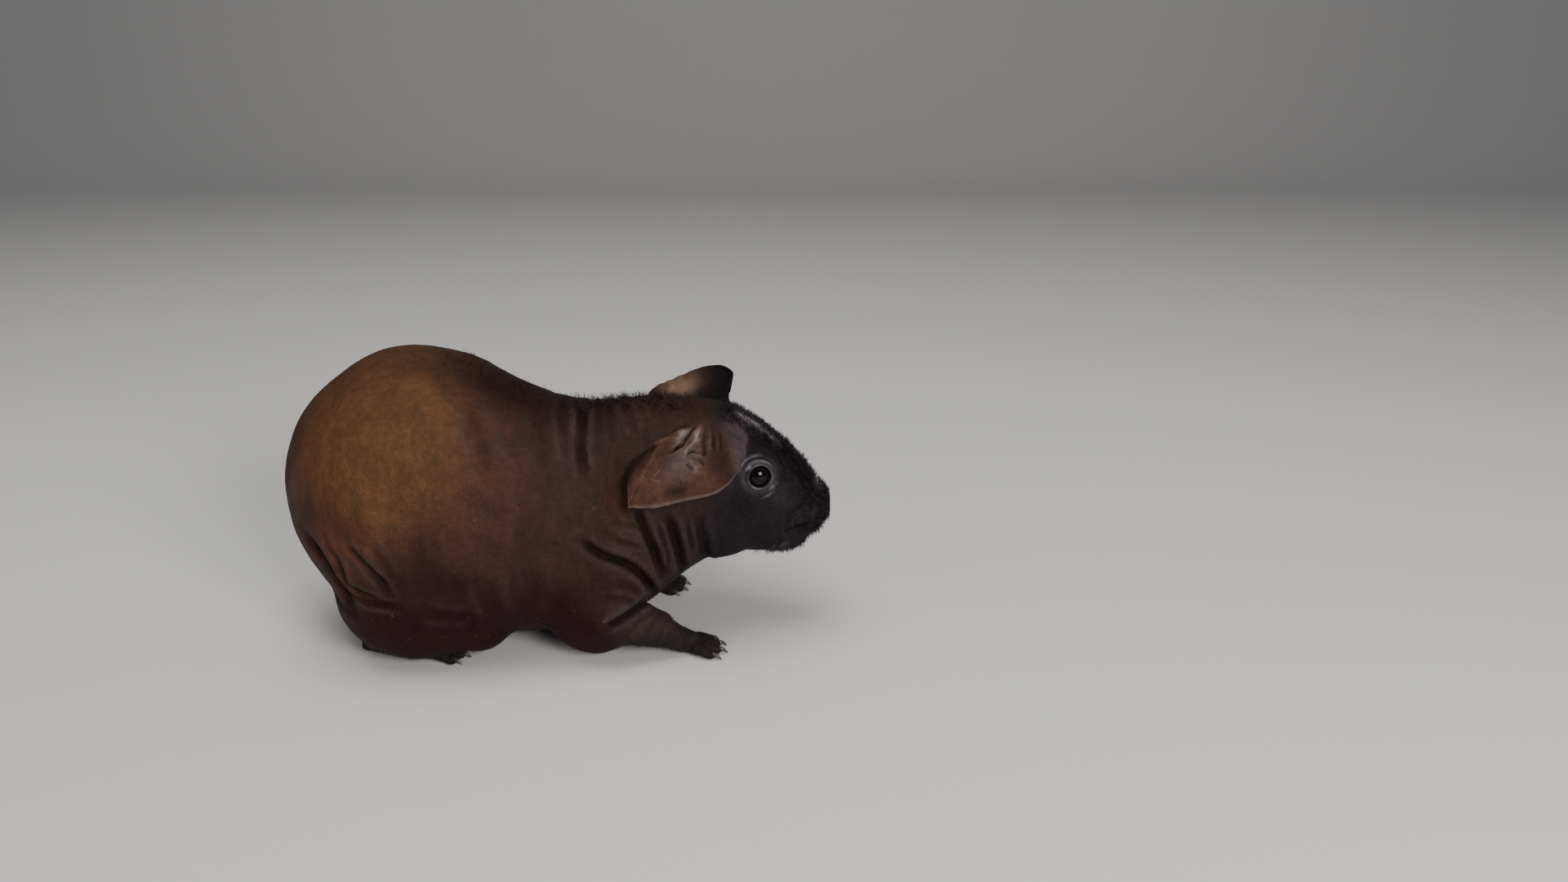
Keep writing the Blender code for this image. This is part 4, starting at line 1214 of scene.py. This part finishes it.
def markings(points):
    # where each colour of the animal lies, from 0 to 1, for the skin and for the hair on it, with the patches
    # of painted shade and painted sheen among them
    x, y, z = points.T
    side = np.abs(y)
    soft = smoothNoise(21, 9.0)(points)
    patch = smoothNoise(23, 4.0)(points)
    near = lambda place, size: bell(np.linalg.norm((np.stack([x, side, z], 1) - place) / size, axis=1))
    face = step(57, 71, x + 0.12 * (62 - z) + 1.4 * soft)
    spine = (0.3 + 0.7 * step(-55, -15, x)) * (1 - 0.5 * step(16, 40, x))
    neck = step(34, 58, z) * (0.15 + 0.85 * step(8, 24, side))
    temple = near((72, 18, 79), (6.5, 12, 9)) * step(79.5, 76.5, x)
    hindFoot = step(9, 6.5, z) * step(-18, -24, x)
    marks = {
        "rump": step(36, 84, z + 5 * soft) * step(2, -46, x + 4 * soft) * (1 - 0.8 * step(-80, -100, x)),
        # painted shade on the back end of the rump where it turns from the light
        "rearShade": 0.85 * step(-88, -103, x + 3 * soft),
        # painted shadow of the ear on the neck behind it
        "behindEarShade": 0.85 * near((31, 33, 65), (7, 12, 11)),
        "under": step(60, 18, z + 5 * soft + 0.12 * x),
        "spine": step(32, 10, side + 2 * soft) * step(60, 80, z) * spine,
        "neck": step(0, 34, x + 0.35 * (z - 60) + 3 * soft) * neck,
        "thigh": near((-68, 53, 50), (9, 9, 15)),
        "throat": 0.85 * step(34, 52, x) * step(62, 46, z),
        "arm": step(22, 40, x) * step(34, 24, z) * step(20, 26, side),
        "face": face,
        "faceEdge": 4 * face * (1 - face),
        # painted sheen on the cheek in front of the eye and on the whisker pad
        "cheek": near((91, 17, 66), (9, 8, 10)) * 0.9 + near((102, 12, 52.5), (4.5, 5, 3.2)) * 0.9,
        "temple": temple + near((77, 8, 87.5), (7, 8, 5)) * 0.85,
        "nose": step(103, 109, x) * step(45, 50, z),
        # painted highlight on the skin at the top of the nose, where pale hairs also grow
        "nosePale": near((105.2, 2.4, 61.0), (2.2, 2.4, 1.8)) * step(-0.4, 0.3, patch),
        "foot": np.maximum(step(16, 9, z) * step(24, 34, x), hindFoot),
        "specks": step(40, 20, x) * step(95, 70, z),
        "stripe": bell((y + 3.5 + 0.6 * patch) / 2.2) * step(72, 76, x) * step(92, 86, x) * step(72, 76, z),
    }
    return {name: np.clip(value, 0, 1) for name, value in marks.items()}


def markEars(points, onEar, place):
    u, v = place.T
    wide, high = earStrokes["size"]
    left = points[:, 1] > 0
    right = points[:, 1] < 0
    inner, outer = onEar * left, onEar * right
    rim = np.minimum(np.minimum(u, 1 - u) * wide, (1 - v) * high)
    spot = lambda a, b, wide, high: bell(np.hypot((u - a) / wide, (v - b) / high))
    relief = np.where(left, 0.5 * strokeOnEar(1, u, v), strokeOnEar(-1, u, v))
    pale = 0.75 * spot(0.57, 0.07, 0.05, 0.11) + 0.55 * spot(0.42, 0.12, 0.035, 0.14)
    pale += 0.35 * spot(0.47, 0.34, 0.04, 0.07) + 0.2 * spot(0.38, 0.62, 0.03, 0.08)
    # painted highlight on the ear's raised ridges
    pale += 0.5 * np.clip(relief, 0, 1)
    dark = 0.5 * spot(0.46, 0.87, 0.065, 0.09) + 0.7 * step(0.86, 0.98, u + 0.1 * v)
    # the first term is painted shade along the crease at the ear's root
    dark += 0.8 * step(0.3, 0.44, u) * bell((v + 0.1) / 0.045) + 0.55 * step(0.8, 0.92, u)
    # painted shade in the slit and the other furrows of the ear
    dark += 1.2 * np.clip(-relief - 0.12, 0, 1)
    return {
        "ear": onEar * np.where(right, 1 - 0.75 * step(0.18, 0.0, v) * step(0.42, 0.28, u), 1),
        "earMiddle": outer * spot(0.47, 0.46, 0.1, 0.24),
        "earRed": outer * step(0.1, 0.19, u) * step(0.42, 0.3, u + 0.12 * v) * 0.9,
        "earFront": outer * step(0.22, 0.08, u + 0.03 * (v - 0.5)),
        "earDark": np.clip(outer * dark, 0, 0.93),
        "earPale": np.clip(outer * pale, 0, 1),
        # painted highlight along the ear's rim
        "earRimHighlight": outer * bell((rim - 0.25) / 0.4) * step(0.15, 0.3, v) * (0.5 + 0.5 * step(0.14, 0.3, u)),
        "earInside": inner * np.clip(1.0 - 0.75 * spot(0.62, 0.7, 0.22, 0.5), 0, 1),
        # painted light shining through the far ear
        "earGlow": np.clip(inner * spot(0.56, 0.7, 0.1, 0.3), 0, 1) * 0.9,
    }


def markSkin():
    points = pointsOf(skin)
    onEar, place = earMask(points)
    marks = markings(points)
    marks.update(markEars(points, onEar, place))
    # the pale lid rims and the painted sheen round the eyes
    marks["lid"] = lidSheen
    # painted shade in the creases
    marks["furrow"] = np.clip(-furrow * 0.55, 0, 0.8)
    # painted highlight on the raised ridges beside the folds
    marks["ridge"] = np.clip(furrow * 1.6, 0, 0.55) * (1 - marks["ear"]) * (1 - marks["face"])
    for name, values in marks.items():
        saveMask(skin, name, values)
    return onEar


skinEar = markSkin()
skinPoints, skinNormals = pointsOf(skin), normalsOf(skin)
skin.data.calc_loop_triangles()
skinFaces = readAll(skin.data.loop_triangles, "vertices", 3, np.int32)
skin.name = "skin"
skin.data.name = "skin"
settle(skin, skinMaterial())
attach(skin, "root")
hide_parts("head", "neck", "torso", "ear_left", "ear_right", "fore_leg_left", "fore_leg_right",
            "fore_foot_left", "fore_foot_right", "hind_leg_left", "hind_leg_right",
            "hind_foot_left", "hind_foot_right")
print("skin done")


def makeEyes():
    gloss = eyeMaterial()
    for side, word in words.items():
        centre, way, _, _ = eyeFrame(side)
        ball = ellipsoid("eyeball_" + word, centre, (eyes["radius"],) * 3, 0, 64)
        offset = unitRows(pointsOf(ball) - centre)
        saveMask(ball, "iris", np.arccos(np.clip(offset @ way, -1, 1)))
        settle(ball, gloss)
        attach(ball, "root")
        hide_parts("eye_" + word)


makeEyes()
print("eyes done")


# The skin is bare but for fuzz on the face and feet, sparse down, tufts on the nape and whiskers.
# Each coat: how many hairs, their length, radius, lift off the skin and lie, the slot and the seed.
coats = {
    "faceFuzz": (13000, (1.4, 3.0), 0.085, 0.58, (-1.0, 0.25, -0.25), "face_skin", 31),
    "napeTufts": (1500, (1.8, 3.8), 0.1, 0.8, (-1.0, 0.25, -0.25), "body_skin", 32),
    "feetFuzz": (5200, (0.9, 2.2), 0.07, 0.3, (-1.0, 0.25, -0.25), "face_skin", 33),
    "bodyFuzz": (2600, (0.6, 1.4), 0.045, 0.24, (-1.0, 0.25, -0.25), "body_skin", 34),
    "whiskers": (22, (5.0, 11.0), 0.075, 0.75, (-0.35, 1.0, -0.15), "face_skin", 35),
}


def coatDensity(name, points, onEar):
    # how thickly a piece of the coat grows at each place on the skin, from 0 to 1
    x, y, z = points.T
    side = np.abs(y)
    toEye = np.linalg.norm(np.stack([x, side, z], 1) - eyes["centre"], axis=1)
    bare = (1 - onEar) * step(7.5, 9.5, toEye)
    clump = step(-0.2, 0.5, smoothNoise(41, 1.6)(points))
    if name == "faceFuzz":
        ridge = step(16, 7, side) * step(66, 76, x) * step(56, 60, z)
        snout = step(97, 103, x) * step(38, 46, z)
        chin = step(84, 90, x) * step(42, 38, z) * 0.6
        cheek = 0.05 * step(72, 80, x)
        thin = 1 - 0.75 * markings(points)["stripe"]
        return bare * np.clip(ridge + 0.8 * snout + chin + cheek, 0, 1) * (0.35 + 0.65 * clump) * thin
    if name == "napeTufts":
        nape = bell((x - 22) / 9) + 0.8 * bell((x - 44) / 8) + 0.15 * step(-60, -20, x)
        return bare * nape * step(15, 5, side) * step(80, 88, z) * step(64, 58, x) * clump
    if name == "feetFuzz":
        fore = step(18, 11, z) * step(22, 34, x)
        hind = step(10, 7, z) * step(-18, -26, x) * step(-80, -72, x)
        return bare * np.clip(fore + hind, 0, 1) * step(0.4, 1.5, z)
    if name == "bodyFuzz":
        return bare * step(80, 60, x) * step(4, 20, z) * (0.3 + 0.7 * clump)
    return bare * bell((x - 101) / 3.5) * bell((z - 52.5) / 2.4) * step(8, 11, side)


def pickRoots(density, count, pick):
    # random places on the skin, as thickly as the density says
    faces = skinFaces
    a, b, c = (skinPoints[faces[:, i]] for i in range(3))
    area = np.linalg.norm(np.cross(b - a, c - a), axis=1) * density[faces].mean(1)
    face = pick.choice(len(faces), count, p=area / area.sum())
    s, t = pick.uniform(size=(2, count))
    s, t = np.where(s + t > 1, 1 - s, s), np.where(s + t > 1, 1 - t, t)
    shares = np.stack([1 - s - t, s, t], axis=1)
    corners = faces[face]
    roots = (skinPoints[corners] * shares[..., None]).sum(1)
    normals = (skinNormals[corners] * shares[..., None]).sum(1)
    return roots, unitRows(normals)


def growHair(name, material):
    # thin, tapered hairs of three sides that lean along the lie of the coat and bend at their tips
    count, lengths, thickness, rise, lie, slot, seed = coats[name]
    pick = np.random.default_rng(seed)
    roots, normals = pickRoots(coatDensity(name, skinPoints, skinEar), count, pick)
    x, y, z = roots.T
    flow = np.tile(lie, (count, 1))
    flow[:, 1] *= np.sign(y)
    flow[(z < 16) & (x > 20)] = (1.0, 0, -0.5)
    flow[(z < 12) & (x < -18)] = (0.8, 0, -0.6)
    flow += pick.normal(scale=0.28, size=(count, 3))
    flow = unitRows(flow - (flow * normals).sum(1)[:, None] * normals)
    lift = np.clip(rise * pick.uniform(0.55, 1.45, count), 0.05, 1)[:, None]
    way = unitRows(flow * (1 - lift) + normals * lift)
    bent = unitRows(way + 0.55 * flow - 0.12 * normals)
    uneven = 0.5 + 0.65 * step(-0.5, 0.5, smoothNoise(43, 1.1)(roots))
    length = (pick.uniform(*lengths, count) * uneven)[:, None]
    middle = roots + way * length * 0.5
    tip = middle + bent * length * 0.5
    across = unitRows(np.cross(way, normals + 0.01))
    up = np.cross(across, way)
    radius = thickness * pick.uniform(0.75, 1.25, count)[:, None]
    rings = []
    for base, size in ((roots - normals * 0.25, 1.0), (middle, 0.72)):
        for turn in (0, 2 * math.pi / 3, 4 * math.pi / 3):
            rings.append(base + (across * math.cos(turn) + up * math.sin(turn)) * radius * size)
    points = np.stack(rings + [tip], axis=1)
    faces = [(0, 1, 4, 3), (1, 2, 5, 4), (2, 0, 3, 5), (3, 4, 6), (4, 5, 6), (5, 3, 6)]
    corners = (np.arange(count)[:, None] * 7 + [corner for face in faces for corner in face]).ravel()
    sizes = np.tile([len(face) for face in faces], count)
    data = bpy.data.meshes.new(name)
    data.vertices.add(count * 7)
    data.vertices.foreach_set("co", (points.reshape(-1) * mm).astype(np.float32))
    data.loops.add(len(corners))
    data.loops.foreach_set("vertex_index", corners.astype(np.int32))
    data.polygons.add(len(sizes))
    data.polygons.foreach_set("loop_start", (np.cumsum(sizes) - sizes).astype(np.int32))
    data.update(calc_edges=True)
    obj = addObject(name, data)

    # each hair is a small patch at its root's place on the skin rolled out flat
    patch = np.array([(-1, -1), (0, -1), (1, -1), (-1, 0), (0, 0), (1, 0), (0, 1)]) * 0.0015
    angle = np.arctan2(y, z - 55) / (2 * math.pi) + 0.5
    place = np.stack([angle * 0.99 + 0.005, (x + 106) / 222], axis=1)
    uv = (place[:, None] + patch).reshape(-1, 2)
    data.uv_layers.new(name="OFBake").data.foreach_set("uv", uv[corners].astype(np.float32).ravel())

    marks = markings(roots)
    # pale hairs, more of them where the nose has its painted highlight
    pale = 0.12 * (pick.uniform(size=count) > 0.8) + marks["nosePale"] * (pick.uniform(size=count) > 0.35)
    chin = bell(np.linalg.norm((np.stack([x, np.abs(y), z], 1) - (92, 12.5, 39.5)) / (5, 5, 3), axis=1))
    pale += 0.7 * np.maximum(chin, 0.6 * marks["stripe"]) * (pick.uniform(size=count) > 0.5)
    marks["pale"] = np.clip(pale + 0.2 * (name == "whiskers"), 0, 1)
    for key, values in marks.items():
        saveMask(obj, key, np.repeat(values, 7))
    settle(obj, material)
    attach(obj, "root")
    print(name, "grown:", count, "hairs")


hair = hairMaterial()
for name in coats:
    growHair(name, hair)


def makeClaws():
    mesh = bmesh.new()
    radius = legs["clawRadius"]
    for root, tip in clawPlaces:
        middle = (root + tip) / 2 + (0, 0, 0.7)
        claw = tube("claw", [root, middle, tip], [radius, radius * 0.8, 0.22], 4, 8)
        mesh.from_mesh(claw.data)
        drop(claw)
    claws = objectFrom("claws", mesh)
    settle(claws, clawMaterial())
    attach(claws, "root")


makeClaws()
print("claws done")


# Floor, light and camera

studio = {
    "floor": (0.8, 0.79, 0.78, 1),
    "near": -4.0,
    "far": 1.6,
    "bend": 0.8,
    "high": 3.0,
    "halfWidth": 5.0,
    "world": (0.85, 0.88, 0.92, 1),
    "worldStrength": 0.1,
    "lamps": [
        ("key", (0.71, -0.99, 0.54), 13.0, 0.46, (1.0, 0.97, 0.94)),
        ("fill", (-0.85, -0.95, 0.6), 2.0, 0.7, (1.0, 0.96, 0.9)),
        ("top", (-0.1, -0.12, 1.25), 9.0, 0.9, (1.0, 0.99, 0.97)),
    ],
    "camera": (92.2, -439.4, 224.7),
    "pitch": 18.5,
    "sensor": 36,
    "focal": 1430 / 1920 * 36,
}


def makeStudio():
    # a floor that sweeps up into a wall behind the animal
    far, bend, half = studio["far"], studio["bend"], studio["halfWidth"]
    turns = np.linspace(0, math.pi / 2, 20)[1:]
    profile = [(studio["near"], 0.0), (far, 0.0)]
    profile += [(far + bend * math.sin(turn), bend * (1 - math.cos(turn))) for turn in turns]
    profile.append((far + bend, studio["high"]))
    mesh = bmesh.new()
    rows = [[mesh.verts.new((x, y, z)) for x in (-half, half)] for y, z in profile]
    for a, b in zip(rows, rows[1:]):
        mesh.faces.new((a[0], a[1], b[1], b[0]))
    floor = objectFrom("studioFloor", mesh)
    floor.data.shade_smooth()
    matt = {"Base Color": studio["floor"], "Roughness": 0.9, "Specular IOR Level": 0.1}
    floor.data.materials.append(Shader("studioFloor").finished(matt))
    world = bpy.data.worlds.new("studio")
    bpy.context.scene.world = world
    world.use_nodes = True
    sky = world.node_tree.nodes["Background"].inputs
    sky["Color"].default_value = studio["world"]
    sky["Strength"].default_value = studio["worldStrength"]
    for name, place, power, size, colour in studio["lamps"]:
        data = bpy.data.lights.new(name, "AREA")
        data.energy = power
        data.size = size
        data.color = colour
        lamp = addObject(name, data)
        lamp.location = place
        lamp.rotation_mode = "QUATERNION"
        lamp.rotation_quaternion = (Vector((0, 0, 0.05)) - Vector(place)).to_track_quat("-Z", "Y")


def makeCamera():
    data = bpy.data.cameras.new("camera")
    data.sensor_width = studio["sensor"]
    data.lens = studio["focal"]
    data.clip_start = 0.01
    camera = addObject("camera", data)
    camera.location = Vector(np.array(studio["camera"]) + toFrame) * mm
    camera.rotation_euler = (math.radians(90 - studio["pitch"]), 0, 0)
    bpy.context.scene.camera = camera


makeStudio()
makeCamera()
print("scene done")
